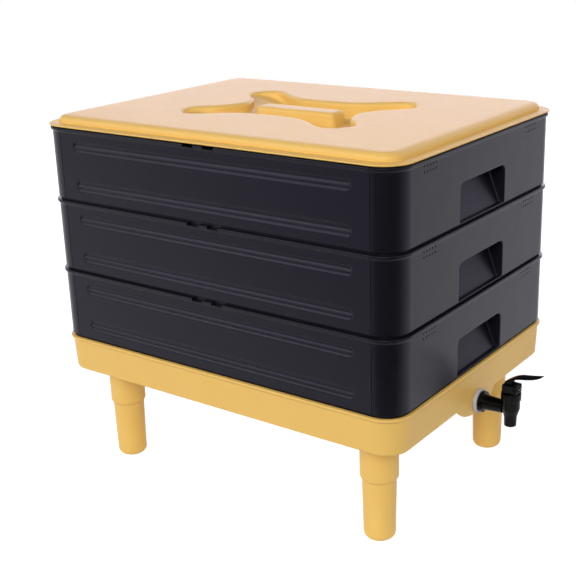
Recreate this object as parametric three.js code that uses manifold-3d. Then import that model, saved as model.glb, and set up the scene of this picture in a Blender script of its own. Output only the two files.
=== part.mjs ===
import * as THREE from 'three';
import { mergeVertices } from 'three/addons/utils/BufferGeometryUtils.js';
import Module from 'manifold-3d';

const wasm = await Module();
wasm.setup();

// A worm composter: a yellow base on four plug-in legs with a push tap, three stacking trays and a lid.
// Lengths are millimetres, +X points to the tap end, +Y to the back and +Z up, with the floor at zero.

// Overall sizes
const lidLength = 504.8;
const lidDepth = 381;
const cornerRadius = 33;
const standHeight = 131;
const baseDepth = 44.9;
const trayPitch = 89.6;
const lidHeight = 12.2;
const trayNames = ['bottom', 'middle', 'top'];

// Fits and cuts
const fitGap = 0.3;
const cutOverrun = 2;

// Fineness of round stretches
const cornerSteps = 4;
const legSides = 16;
const tapSides = 16;
const holeSides = 4;

// Rim and wall section that the base and every tray share
const rimInset = 1;
const rimProud = 2.4;
const rimHeight = 3.4;
const rimSlope = 1.8;
const rimRound = 1.2;
const wall = 2.6;
const spigotGap = 0.5;
const spigotWall = 2.4;
const nestDepth = 5;
const reveal = 3;
const seatLedgeWidth = 4;
const seatLedgeThickness = 2;

// Colours, and how rough each plastic is
const yellowPlastic = { color: 0xe0b765, roughness: 0.45, metalness: 0 };
const blackPlastic = { color: 0x2e2e33, roughness: 0.42, metalness: 0 };
const tapPlastic = { color: 0x141415, roughness: 0.22, metalness: 0 };
const greyRubber = { color: 0xb9b6b8, roughness: 0.6, metalness: 0 };
const siliconeRubber = { color: 0x26262a, roughness: 0.7, metalness: 0 };
const springSteel = { color: 0xc4c6c8, roughness: 0.3, metalness: 1 };

// Places worked out from the sizes above
const halfLength = lidLength / 2;
const halfDepth = lidDepth / 2;
const baseRimZ = standHeight + baseDepth;
const trayInset = rimInset + rimProud;
const innerInset = trayInset + wall;
const lidUnderZ = baseRimZ + trayPitch * trayNames.length + fitGap;
const lidTopZ = lidUnderZ + lidHeight;

// A closed solid skinned over rings that have the same number of points, its first and last ring filled.
function loft(rings) {
  const count = rings[0].length;
  const points = rings.flat();
  const index = [];
  for (let ring = 0; ring + 1 < rings.length; ring++) {
    for (let i = 0; i < count; i++) {
      const a = ring * count + i;
      const b = ring * count + (i + 1) % count;
      index.push(a, b, b + count, a, b + count, a + count);
    }
  }
  fillRing(points, index, 0, count, -1);
  fillRing(points, index, points.length - count, count, 1);
  return solidFrom(points, index);
}

// Fills one flat ring with triangles that face along its own normal, or against it.
function fillRing(points, index, start, count, side) {
  const ring = points.slice(start, start + count);
  const normal = new THREE.Vector3();
  ring.forEach((p, i) => normal.add(new THREE.Vector3().crossVectors(p, ring[(i + 1) % count])));
  normal.normalize();
  const helper = Math.abs(normal.z) > Math.SQRT1_2 ? new THREE.Vector3(1, 0, 0) : new THREE.Vector3(0, 0, 1);
  const u = new THREE.Vector3().crossVectors(helper, normal).normalize();
  const v = new THREE.Vector3().crossVectors(normal, u);
  const flat = ring.map((p) => new THREE.Vector2(p.dot(u), p.dot(v)));
  for (const [a, b, c] of THREE.ShapeUtils.triangulateShape(flat, [])) {
    const turn = (flat[b].x - flat[a].x) * (flat[c].y - flat[a].y)
      - (flat[b].y - flat[a].y) * (flat[c].x - flat[a].x);
    const order = turn * side > 0 ? [a, b, c] : [a, c, b];
    index.push(...order.map((i) => i + start));
  }
}

// A manifold solid from points and triangles, turned right way out if its volume comes out negative.
function solidFrom(points, index) {
  let volume = 0;
  for (let i = 0; i < index.length; i += 3) {
    const [a, b, c] = [points[index[i]], points[index[i + 1]], points[index[i + 2]]];
    volume += a.dot(new THREE.Vector3().crossVectors(b, c));
  }
  const facing = volume > 0 ? index : index.slice().reverse();
  const geometry = new THREE.BufferGeometry().setFromPoints(points);
  geometry.setIndex(facing);
  return solid(geometry);
}

// A manifold solid from any closed three.js geometry.
function solid(geometry) {
  const plain = geometry.clone();
  plain.deleteAttribute('normal');
  plain.deleteAttribute('uv');
  const welded = mergeVertices(plain);
  const vertProperties = new Float32Array(welded.attributes.position.array);
  const triVerts = new Uint32Array(welded.index.array);
  return new wasm.Manifold(new wasm.Mesh({ numProp: 3, vertProperties, triVerts }));
}

function geometryOf(manifold) {
  const mesh = manifold.getMesh();
  const geometry = new THREE.BufferGeometry();
  geometry.setAttribute('position', new THREE.BufferAttribute(new Float32Array(mesh.vertProperties), 3));
  geometry.setIndex(new THREE.BufferAttribute(new Uint32Array(mesh.triVerts), 1));
  geometry.computeVertexNormals();
  return geometry;
}

function piece(name, manifold, finish) {
  const mesh = new THREE.Mesh(geometryOf(manifold), new THREE.MeshStandardMaterial(finish));
  mesh.name = name;
  return mesh;
}

// A box between any two of its opposite corners.
function block(cornerA, cornerB) {
  const box = new THREE.Box3().setFromPoints([new THREE.Vector3(...cornerA), new THREE.Vector3(...cornerB)]);
  const size = box.getSize(new THREE.Vector3());
  const middle = box.getCenter(new THREE.Vector3());
  return solid(new THREE.BoxGeometry(size.x, size.y, size.z).translate(middle.x, middle.y, middle.z));
}

// Points [across, rise] of a quarter of an ellipse that starts upright and ends level.
function quarterRound(across, rise, steps) {
  const points = [];
  for (let step = 0; step <= steps; step++) {
    const angle = step / steps * Math.PI / 2;
    points.push([across - across * Math.cos(angle), rise * Math.sin(angle)]);
  }
  return points;
}

// A turned solid about the vertical line through (x, y), from a closed profile of [radius, z] points.
function turned(profile, sides, x, y) {
  const points = [...profile, profile[0]].map(([radius, z]) => new THREE.Vector2(radius, z));
  return solid(new THREE.LatheGeometry(points, sides).rotateX(Math.PI / 2).translate(x, y, 0));
}

// The same turned solid about a line along X at (y, z), from a closed profile of [radius, x] points.
function turnedAlongX(profile, sides, y, z) {
  const points = [...profile, profile[0]].map(([radius, x]) => new THREE.Vector2(radius, x));
  return solid(new THREE.LatheGeometry(points, sides).rotateZ(-Math.PI / 2).translate(0, y, z));
}

// A flat outline of [x, z] points carried along Y.
function slabAlongY(outline, y0, y1) {
  const near = outline.map(([x, z]) => new THREE.Vector3(x, y0, z));
  const far = outline.map(([x, z]) => new THREE.Vector3(x, y1, z));
  return loft([near, far]);
}

// Stations round the corners of the lid's outline: each has a corner centre and a direction out of it.
function cornerStations(corners) {
  const stations = [];
  for (const corner of corners) {
    const x = (halfLength - cornerRadius) * (corner === 0 || corner === 1 ? 1 : -1);
    const y = (halfDepth - cornerRadius) * (corner === 1 || corner === 2 ? 1 : -1);
    for (let step = 0; step <= cornerSteps; step++) {
      const angle = (corner - 1 + step / cornerSteps) * Math.PI / 2;
      stations.push({ x, y, dx: Math.cos(angle), dy: Math.sin(angle) });
    }
  }
  return stations;
}

// The point of a station that lies inset from the lid's outline, at height z.
function stationPoint(station, inset, z) {
  const reach = cornerRadius - inset;
  return new THREE.Vector3(station.x + station.dx * reach, station.y + station.dy * reach, z);
}

// A solid of rounded rectangles stacked by a list of [inset, z], from one filled end to the other.
function ringStack(profile) {
  const stations = cornerStations([0, 1, 2, 3]);
  return loft(profile.map(([inset, z]) => stations.map((station) => stationPoint(station, inset, z))));
}

// A wall with the section given by [inset, z] points, carried past a row of stations.
function sweptWall(section, stations) {
  return loft(stations.map((station) => section.map(([inset, z]) => stationPoint(station, inset, z))));
}

// The rounded bead round a rim whose top is at rimZ, listed upwards.
function rimBead(rimZ) {
  return [
    [trayInset, rimZ - rimHeight - rimSlope],
    [rimInset + rimRound / 2, rimZ - rimHeight],
    [rimInset, rimZ - rimHeight + rimRound / 2],
    [rimInset, rimZ - rimRound],
    [rimInset + rimRound / 2, rimZ - rimRound / 4],
    [rimInset + rimRound, rimZ],
  ];
}

// The ledge inside a rim that carries the spigot of the tray above, listed downwards.
function seatLedge(rimZ) {
  const top = rimZ - nestDepth - fitGap;
  return [
    [innerInset, rimZ],
    [innerInset, top],
    [innerInset + seatLedgeWidth, top],
    [innerInset + seatLedgeWidth, top - seatLedgeThickness],
    [innerInset, top - seatLedgeThickness],
  ];
}

// Base: a shallow tray with four leg sleeves under its corners and a sump that falls to the tap
const baseDraft = 1.8;
const baseFloor = 2.6;
const baseFloorFillet = 1.6;
const baseEdgeRound = 3.5;
const baseEdgeSteps = 2;
const legEndInset = 57;
const legSideInset = 55.4;
const sleeveLength = 51;
const sleeveChamfer = 10;
const sleeveTopRadius = 22.4;
const sleeveRadius = 21.8;
const sleeveTipRadius = 20.4;
const sleeveBore = 19.5;
const tapDrop = 1;
const tapShankRadius = 8;
const padHalfWidth = 46;
const padHalfHeight = 22;
const padInset = 4;
const padProud = 1.2;
const padTaper = 10;
const padSteps = 16;
const sumpStartX = 60;
const sumpDepth = 16.5;
const sumpSteps = 6;
const tapBossRadius = 14.5;

const legX = halfLength - legEndInset;
const legY = halfDepth - legSideInset;
const tapHeight = standHeight - tapDrop;
const padFaceX = halfLength - padInset;
const padBackX = halfLength - innerInset - baseDraft;
const sleeveTipZ = standHeight - sleeveLength;
const padCentreZ = standHeight - sumpDepth + padHalfHeight;

// The pad's rounded outline in the plane x, drawn in from its full size by taper.
function padRing(x, taper) {
  const ring = [];
  for (let step = 0; step < padSteps; step++) {
    const angle = step / padSteps * Math.PI * 2;
    const y = (padHalfWidth - taper) * Math.cos(angle);
    const z = padCentreZ + (padHalfHeight - taper / 2) * Math.sin(angle);
    ring.push(new THREE.Vector3(x, y, z));
  }
  return ring;
}

// One section of the sump: a dip of the given half width and depth below lipZ, under a flat top.
function sumpSection(x, lipZ, topZ, halfWidth, depth) {
  const section = [new THREE.Vector3(x, halfWidth, topZ), new THREE.Vector3(x, -halfWidth, topZ)];
  for (let step = 0; step <= sumpSteps; step++) {
    const across = step / sumpSteps * 2 - 1;
    const dip = depth * (1 - across * across);
    section.push(new THREE.Vector3(x, across * halfWidth, lipZ - dip));
  }
  return section;
}

function makeBase() {
  const floorZ = standHeight + baseFloor;
  let base = ringStack([
    ...quarterRound(baseEdgeRound, baseEdgeRound, baseEdgeSteps).reverse().map(([across, rise]) => [
      trayInset + baseDraft + across,
      standHeight + baseEdgeRound - rise,
    ]),
    ...rimBead(baseRimZ),
    ...seatLedge(baseRimZ),
    [innerInset + baseDraft, floorZ + baseFloorFillet],
    [innerInset + baseDraft + baseFloorFillet, floorZ],
  ]);
  for (const [x, y] of [[legX, legY], [legX, -legY], [-legX, legY], [-legX, -legY]]) {
    base = base.add(turned([
      [0, standHeight + baseFloor / 2],
      [0, sleeveTipZ],
      [sleeveTipRadius, sleeveTipZ],
      [sleeveRadius, sleeveTipZ + sleeveChamfer],
      [sleeveTopRadius, standHeight + baseFloor / 2],
    ], legSides, x, y));
    base = base.subtract(turned([
      [0, standHeight],
      [0, sleeveTipZ - cutOverrun],
      [sleeveBore, sleeveTipZ - cutOverrun],
      [sleeveBore, standHeight],
    ], legSides, x, y));
  }
  base = base.add(loft([padRing(padBackX, 0), padRing(padFaceX - padProud, 0), padRing(padFaceX, padTaper)]));
  base = base.add(loft([
    sumpSection(sumpStartX, standHeight, floorZ - baseFloor / 2, padHalfWidth, 0),
    sumpSection(padBackX, standHeight, floorZ - baseFloor / 2, padHalfWidth, sumpDepth),
  ]));
  base = base.subtract(loft([
    sumpSection(sumpStartX + wall, floorZ, floorZ + cutOverrun, padHalfWidth - wall, 0),
    sumpSection(padBackX, floorZ, floorZ + cutOverrun, padHalfWidth - wall, sumpDepth),
  ]));
  base = base.add(turnedAlongX([
    [0, padBackX],
    [tapBossRadius, padBackX],
    [tapBossRadius, padFaceX - padProud],
    [0, padFaceX - padProud],
  ], tapSides, 0, tapHeight));
  return base.subtract(turnedAlongX([
    [0, padBackX - cutOverrun],
    [tapShankRadius + fitGap, padBackX - cutOverrun],
    [tapShankRadius + fitGap, padFaceX + cutOverrun],
    [0, padFaceX + cutOverrun],
  ], tapSides, 0, tapHeight));
}

// Legs: hollow tapered tubes with a closed rounded foot, pushed up into the sleeves
const legFootRadius = 18.6;
const legShoulderRadius = 19.9;
const legWall = 2.4;
const footRound = 8;
const footSteps = 3;

function makeLeg(x, y) {
  const shoulderZ = sleeveTipZ - fitGap;
  const spigotRadius = sleeveBore - fitGap;
  const topZ = standHeight - fitGap;
  const outside = quarterRound(footRound, footRound, footSteps).reverse();
  return turned([
    [0, 0],
    ...outside.map(([across, rise]) => [legFootRadius - across, footRound - rise]),
    [legShoulderRadius, shoulderZ],
    [spigotRadius, shoulderZ],
    [spigotRadius, topZ],
    [spigotRadius - legWall, topZ],
    [spigotRadius - legWall, shoulderZ],
    [legFootRadius - legWall, footRound],
    [legFootRadius - footRound, legWall],
    [0, legWall],
  ], legSides, x, y);
}

// Trays: two grooved long panels, two end pieces that wrap the corners, and a slotted floor
const floorLedgeWidth = 4;
const floorLedgeThickness = 2;
const floorThickness = 2.5;
const seamGap = 0.6;
const grooveHalfLength = 191;
const grooveHeight = 13;
const grooveDepth = 1.7;
const grooveEnd = 6;
const grooveEndSteps = 3;
const grooveDrops = [20.7, 68.5];
const grooveBacking = 1.6;
const grooveShares = [
  [0.5, 0], [0.43, 1], [0.14, 1], [-0.04, 0.1], [-0.14, 0.1], [-0.24, 1], [-0.32, 1], [-0.5, 0],
];
const grooveTipShare = 0.3;
const notchInner = 7;
const notchOuter = 22;
const notchDepth = 1.5;
const tabDrop = 0.5;
const tongueLength = 5;
const tongueThickness = 1.8;
const tongueInset = 1.4;
const keeperThickness = 2;
const dimpleRadius = 1;
const dimpleDepth = 0.8;

// The section of a tray's wall whose rim is at rimZ: spigot, shelf, wall, bead and seat ledge.
function traySection(rimZ) {
  const bottomZ = rimZ - trayPitch - nestDepth;
  const shelfZ = bottomZ + nestDepth + reveal;
  const spigotInset = innerInset + spigotGap;
  const spigotInner = spigotInset + spigotWall;
  return [
    [spigotInset, bottomZ],
    [spigotInset, shelfZ],
    [trayInset, shelfZ],
    ...rimBead(rimZ),
    ...seatLedge(rimZ),
    [innerInset, shelfZ + wall],
    [spigotInner, shelfZ + wall],
    [spigotInner, bottomZ + floorLedgeThickness],
    [spigotInner + floorLedgeWidth, bottomZ + floorLedgeThickness],
    [spigotInner + floorLedgeWidth, bottomZ],
  ];
}

const frontY = -(halfDepth - trayInset);
const seamX = halfLength - cornerRadius;

// The cutter of one pressed groove along the front wall: its section shrinks to a rounded tip at each end.
function grooveCutter(centreZ) {
  const sections = [];
  const stations = [];
  for (let step = grooveEndSteps; step > 0; step--) {
    stations.push([-1, step / grooveEndSteps]);
  }
  stations.push([-1, 0], [1, 0]);
  for (let step = 1; step <= grooveEndSteps; step++) {
    stations.push([1, step / grooveEndSteps]);
  }
  for (const [side, share] of stations) {
    const x = side * (grooveHalfLength + grooveEnd * Math.sin(share * Math.PI / 2));
    const scale = Math.max(Math.cos(share * Math.PI / 2), grooveTipShare);
    const section = grooveShares.map(([height, depth]) => new THREE.Vector3(
      x,
      frontY + depth * grooveDepth * scale,
      centreZ + height * grooveHeight * scale,
    ));
    const halfHeight = grooveHeight / 2 * scale;
    section.push(new THREE.Vector3(x, frontY - cutOverrun, centreZ - halfHeight));
    section.push(new THREE.Vector3(x, frontY - cutOverrun, centreZ + halfHeight));
    sections.push(section);
  }
  return loft(sections);
}

// Heights between which a panel's tongue stands in the keeper of the end piece.
function tongueHeights(rimZ) {
  const low = rimZ - trayPitch + reveal + wall * 2;
  const high = rimZ - nestDepth - fitGap - seatLedgeThickness - wall;
  return [low, high];
}

function makeFrontPanel(rimZ) {
  const endX = seamX - seamGap;
  const stations = [-endX, endX].map((x) => ({ x, y: -(halfDepth - cornerRadius), dx: 0, dy: -1 }));
  let panel = sweptWall(traySection(rimZ), stations);
  const innerY = frontY + wall;
  for (const drop of grooveDrops) {
    const z = rimZ - drop;
    const reach = grooveHalfLength + grooveEnd;
    const halfHeight = grooveHeight / 2 + grooveBacking;
    panel = panel.add(block(
      [-reach, innerY - wall / 2, z - halfHeight],
      [reach, innerY + grooveBacking, z + halfHeight],
    ));
    panel = panel.subtract(grooveCutter(z));
  }
  const [low, high] = tongueHeights(rimZ);
  const tongueY = innerY + tongueInset;
  for (const side of [-1, 1]) {
    panel = panel.add(block(
      [side * (endX - tongueLength), tongueY, low],
      [side * (seamX + tongueLength), tongueY + tongueThickness, high],
    ));
    panel = panel.add(block(
      [side * (endX - tongueLength), innerY - wall / 2, low],
      [side * endX, tongueY + tongueThickness / 2, high],
    ));
    panel = panel.subtract(block(
      [side * notchInner, frontY - rimProud - cutOverrun, rimZ - notchDepth],
      [side * notchOuter, innerY + cutOverrun / 2, rimZ + cutOverrun],
    ));
  }
  panel = panel.subtract(block(
    [-notchInner, frontY - rimProud - cutOverrun, rimZ - tabDrop],
    [notchInner, innerY + cutOverrun / 2, rimZ + cutOverrun],
  ));
  const dimpleX = notchOuter + dimpleRadius * 2;
  const dimple = new THREE.CylinderGeometry(dimpleRadius, dimpleRadius, dimpleDepth * 2, holeSides);
  const dimpleZ = rimZ - rimHeight / 2;
  return panel.subtract(solid(dimple.translate(dimpleX, frontY - rimProud, dimpleZ)));
}

// End pieces: handle pocket pressed into the wall, air vents near the upper corners, keepers for the tongues
const pocketHalfWidth = 53;
const pocketHeight = 43.8;
const pocketSill = 1.5;
const pocketTopDepth = 23;
const pocketSillDepth = 8;
const pocketCorner = 7;
const pocketDraft = 1.5;
const pocketWall = 2.2;
const ventRadius = 1.1;
const ventSpacing = 6.05;
const ventColumns = 5;
const ventNearY = 107.3;
const ventDrops = [7.2, 13.3];

const endX = halfLength - trayInset;

// The pocket's outline on the end wall, grown by grow, at a depth that rises evenly from sill to top.
function pocketRing(sillZ, grow, sillDepth, topDepth) {
  const low = sillZ - grow;
  const high = sillZ + pocketHeight + grow;
  const side = pocketHalfWidth + grow;
  const outline = [[-side, low], [side, low]];
  for (let step = 0; step <= cornerSteps; step++) {
    const angle = step / cornerSteps * Math.PI / 2;
    outline.push([
      side - pocketCorner + pocketCorner * Math.cos(angle),
      high - pocketCorner + pocketCorner * Math.sin(angle),
    ]);
  }
  for (let step = 0; step <= cornerSteps; step++) {
    const angle = (1 + step / cornerSteps) * Math.PI / 2;
    outline.push([
      -side + pocketCorner + pocketCorner * Math.cos(angle),
      high - pocketCorner + pocketCorner * Math.sin(angle),
    ]);
  }
  return outline.map(([y, z]) => {
    const rise = (z - sillZ) / pocketHeight;
    return new THREE.Vector3(endX - sillDepth - (topDepth - sillDepth) * rise, y, z);
  });
}

function makeRightEnd(rimZ) {
  let end = sweptWall(traySection(rimZ), cornerStations([0, 1]));
  const shelfZ = rimZ - trayPitch + reveal;
  const sillZ = shelfZ + pocketSill;
  end = end.add(loft([
    pocketRing(sillZ, pocketWall, wall / 2, wall / 2),
    pocketRing(sillZ, pocketWall - pocketDraft, pocketSillDepth + pocketWall, pocketTopDepth + pocketWall),
  ]));
  end = end.subtract(loft([
    pocketRing(sillZ, 0, -cutOverrun, -cutOverrun),
    pocketRing(sillZ, -pocketDraft, pocketSillDepth, pocketTopDepth),
  ]));
  for (const side of [-1, 1]) {
    for (const drop of ventDrops) {
      for (let column = 0; column < ventColumns; column++) {
        const y = side * (ventNearY + column * ventSpacing);
        end = end.subtract(turnedAlongX([
          [0, endX - wall - cutOverrun],
          [ventRadius, endX - wall - cutOverrun],
          [ventRadius, endX + cutOverrun],
          [0, endX + cutOverrun],
        ], holeSides, y, rimZ - drop));
      }
    }
  }
  const [low, high] = tongueHeights(rimZ);
  const tongueBack = halfDepth - innerInset - tongueInset - tongueThickness;
  const keeperOuterX = seamX + tongueLength + fitGap * 2 + keeperThickness;
  for (const side of [-1, 1]) {
    const plateFace = side * (tongueBack - fitGap);
    const plateBack = side * (tongueBack - fitGap - keeperThickness);
    const webRoot = side * (halfDepth - innerInset - wall / 4);
    end = end.add(block([seamX + fitGap, plateFace, low], [keeperOuterX, plateBack, high]));
    end = end.add(block([keeperOuterX - keeperThickness, webRoot, low], [keeperOuterX, plateBack, high]));
  }
  return end;
}

// Tray floor: a slotted plate that lies on the ledge at the foot of the walls
const slotColumns = 6;
const slotRows = 4;
const slotLength = 52;
const slotWidth = 14;
const slotMargin = 26;

function makeFloor(rimZ) {
  const inset = innerInset + spigotGap + spigotWall + fitGap;
  const bottomZ = rimZ - trayPitch - nestDepth + floorLedgeThickness + fitGap;
  const topZ = bottomZ + floorThickness;
  let plate = ringStack([[inset, bottomZ], [inset, topZ]]);
  const spanX = lidLength - 2 * (inset + slotMargin) - slotLength;
  const spanY = lidDepth - 2 * (inset + slotMargin) - slotWidth;
  for (let column = 0; column < slotColumns; column++) {
    for (let row = 0; row < slotRows; row++) {
      const x = (column / (slotColumns - 1) - 0.5) * spanX;
      const y = (row / (slotRows - 1) - 0.5) * spanY;
      plate = plate.subtract(block(
        [x - slotLength / 2, y - slotWidth / 2, bottomZ - cutOverrun],
        [x + slotLength / 2, y + slotWidth / 2, topZ + cutOverrun],
      ));
    }
  }
  return plate;
}

// Lid: a shallow moulded cover with a flange, soft shoulders and a grip bar across a four-lobed recess
const lidShell = 2.5;
const flangeWidth = 12.4;
const flangeThickness = 3.1;
const flangeLift = 1.3;
const flangeRound = 0.6;
const flangeRise = 0.4;
const shoulderWidth = 15.6;
const shoulderShares = [[0, 0], [0.03, 0.3], [0.08, 0.58], [0.18, 0.8], [0.36, 0.93], [0.65, 0.985], [1, 1]];
const recessDepth = 20;
const recessFlatHalf = 66;
const recessRampEnd = 130;
const recessTipDepth = 2;
const recessPoints = 44;
const recessLip = 3.2;
const recessLipDrop = 3.6;
const recessFillet = 5;
const recessSteps = 2;
const gripHalfLength = 58;
const gripHalfWidth = 14.5;
const gripCorner = 7;
const gripDrop = 0.4;
const gripRound = 5;
const gripSteps = 3;
const gripDraft = 1.5;
const recessHalfLength = 122;
const recessHalfWidth = 90;
const recessQuarterShares = [
  [0.672, 0], [0.713, 0.189], [0.803, 0.4], [0.934, 0.556], [1, 0.711],
  [0.959, 0.889], [0.836, 0.989], [0.705, 0.933], [0.508, 0.744], [0.311, 0.611],
];
const recessWaistShare = 0.578;

// The recess outline as a smooth closed curve through the quarter's points and their mirror images.
function recessOutline() {
  const quarter = recessQuarterShares.map(([x, y]) => [x * recessHalfLength, y * recessHalfWidth]);
  const waist = recessWaistShare * recessHalfWidth;
  const back = quarter.slice(1).reverse();
  const loop = [
    ...quarter,
    [0, waist],
    ...back.map(([x, y]) => [-x, y]),
    ...quarter.map(([x, y]) => [-x, -y]),
    [0, -waist],
    ...back.map(([x, y]) => [x, -y]),
  ];
  const curve = new THREE.CatmullRomCurve3(loop.map(([x, y]) => new THREE.Vector3(x, y, 0)), true);
  return curve.getSpacedPoints(recessPoints).slice(0, -1);
}

// The outline moved out along its own normals by grow, at height z.
function grownRing(outline, grow, z) {
  const count = outline.length;
  return outline.map((p, i) => {
    const along = outline[(i + 1) % count].clone().sub(outline[(i + count - 1) % count]).normalize();
    return new THREE.Vector3(p.x + along.y * grow, p.y - along.x * grow, z);
  });
}

// A prism with a flat middle and ends that ramp up, which limits the recess or the pan under it.
function rampPrism(lower, reach) {
  const floorZ = lidTopZ - recessDepth - lower;
  const tipZ = lidTopZ - recessTipDepth - lower;
  return slabAlongY([
    [-recessRampEnd, lidTopZ + cutOverrun * 2],
    [-recessRampEnd, tipZ],
    [-recessFlatHalf, floorZ],
    [recessFlatHalf, floorZ],
    [recessRampEnd, tipZ],
    [recessRampEnd, lidTopZ + cutOverrun * 2],
  ], -reach, reach);
}

// A rounded rectangle at height z, drawn in by inset, as one ring of the grip bar.
function barRing(halfX, halfY, radius, z, inset) {
  const ring = [];
  for (let corner = 0; corner < 4; corner++) {
    const x = (halfX - radius) * (corner === 0 || corner === 3 ? 1 : -1);
    const y = (halfY - radius) * (corner < 2 ? 1 : -1);
    for (let step = 0; step <= cornerSteps; step++) {
      const angle = (corner + step / cornerSteps) * Math.PI / 2;
      const reach = radius - inset;
      ring.push(new THREE.Vector3(x + reach * Math.cos(angle), y + reach * Math.sin(angle), z));
    }
  }
  return ring;
}

function makeLid() {
  const shoulderZ = lidUnderZ + flangeThickness + flangeRise;
  const shoulder = shoulderShares
    .map(([across, rise]) => [flangeWidth + across * shoulderWidth, shoulderZ + rise * (lidTopZ - shoulderZ)]);
  const shellInside = shoulder.map(([inset, z]) => [inset + lidShell, z - lidShell]).reverse();
  const ribOuter = innerInset + fitGap;
  const ribInner = ribOuter + wall;
  let lid = ringStack([
    ...shellInside,
    [flangeWidth + lidShell, lidUnderZ],
    [ribInner, lidUnderZ],
    [ribInner, lidUnderZ - nestDepth],
    [ribOuter, lidUnderZ - nestDepth],
    [ribOuter, lidUnderZ],
    [trayInset, lidUnderZ],
    [flangeRound, lidUnderZ + flangeLift],
    [0, lidUnderZ + flangeLift + flangeRound],
    [0, lidUnderZ + flangeThickness - flangeRound],
    [flangeRound, lidUnderZ + flangeThickness],
    ...shoulder,
  ]);
  const outline = recessOutline();
  const floorZ = lidTopZ - recessDepth;
  const reach = halfDepth - flangeWidth - shoulderWidth;
  const fillet = quarterRound(recessFillet, recessFillet, recessSteps).reverse()
    .map(([across, rise]) => [-across, floorZ + recessFillet - rise]);
  const lip = quarterRound(recessLip, recessLipDrop, recessSteps)
    .map(([across, rise]) => [across, lidTopZ - recessLipDrop + rise]);
  const ringsAt = (profile) => profile.map(([grow, z]) => grownRing(outline, grow, z));
  const pan = loft(ringsAt([
    ...fillet.map(([grow, z]) => [grow + lidShell, z - lidShell]),
    [lidShell, lidTopZ - lidShell / 2],
  ])).intersect(rampPrism(lidShell, reach));
  const cut = loft(ringsAt([
    [-recessFillet, floorZ - cutOverrun],
    ...fillet,
    ...lip,
    [recessLip, lidTopZ + cutOverrun],
  ])).intersect(rampPrism(0, reach));
  const topZ = lidTopZ - gripDrop;
  const bar = (z, inset) => barRing(gripHalfLength, gripHalfWidth, gripCorner, z, inset);
  const grip = loft([
    bar(floorZ - lidShell / 2, -gripDraft),
    ...quarterRound(gripRound, gripRound, gripSteps)
      .map(([across, rise]) => bar(topZ - gripRound + rise, across)),
  ]);
  const hollow = loft([
    bar(floorZ - lidShell - cutOverrun, lidShell),
    bar(topZ - lidShell, lidShell),
  ]);
  return lid.add(pan).subtract(cut).add(grip).subtract(hollow);
}

// Tap: body with a threaded shank, two washers and a nut, bonnet, lever on a pin, stem, cup and spring
const outerWasherRadius = 14.6;
const outerWasherThickness = 6.6;
const innerWasherRadius = 12.3;
const innerWasherThickness = 2.5;
const tapFlangeRadius = 12.4;
const tapFlangeThickness = 2.5;
const barrelRootRadius = 9.5;
const barrelTipRadius = 7.7;
const barrelBore = 3.5;
const valveOffset = 42.4;
const collarRadius = 11.8;
const collarHeight = 8.8;
const collarChamfer = 1.2;
const collarRise = 20.5;
const valveRadius = 10.7;
const valveTaperTop = 0.2;
const valveTaperEnd = 9;
const spoutRadius = 7.7;
const spoutTipRadius = 7.2;
const spoutBore = 5.6;
const spoutDrop = 21.3;
const chamberRadius = 9;
const seatDrop = 4;
const nutRadius = 11.6;
const nutSides = 6;
const nutThickness = 7;
const shankReach = 12;
const bonnetPlugDepth = 6;
const bonnetBackReach = 7;
const bonnetFrontReach = 9.8;
const bonnetHalfWidth = 7;
const bonnetHeight = 10.2;
const bonnetFloor = 1.8;
const bonnetSlotHalf = 5;
const bonnetSlotBack = 5.4;
const stemRadius = 2;
const stemHeadRadius = 3.4;
const stemHeadThickness = 1.8;
const cupRadius = 7.4;
const cupHeight = 4.8;
const cupSocketDepth = 2.6;
const pinOffset = 6.9;
const pinRadius = 1.6;
const pinHeight = 6.2;
const lugRadius = 4;
const prongOverlap = 0.9;
const prongDepth = 2.6;
const springRadius = 4.6;
const springWireRadius = 0.5;
const springTurns = 3;
const springStepsPerTurn = 8;
const springWireSides = 5;

const valveX = padFaceX + valveOffset;
const collarTopZ = tapHeight + collarRise;
const valveTaperTopZ = tapHeight - valveTaperTop;
const valveTaperEndZ = tapHeight - valveTaperEnd;
const spoutEndZ = tapHeight - spoutDrop;
const seatZ = tapHeight - seatDrop;
const bonnetZ = collarTopZ + fitGap;
const pinX = valveX + pinOffset;
const pinZ = bonnetZ + pinHeight;
const cupZ = seatZ + fitGap;
const plugZ = collarTopZ - bonnetPlugDepth;

// A flat ring threaded on the tap's shank, from x0 for its thickness, with sides round its outside.
function shankRing(x0, thickness, radius, sides) {
  const bore = tapShankRadius + fitGap;
  const x1 = x0 + thickness;
  const disc = turnedAlongX([[0, x0], [radius, x0], [radius, x1], [0, x1]], sides, 0, tapHeight);
  return disc.subtract(turnedAlongX([
    [0, x0 - cutOverrun],
    [bore, x0 - cutOverrun],
    [bore, x1 + cutOverrun],
    [0, x1 + cutOverrun],
  ], tapSides, 0, tapHeight));
}

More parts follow.
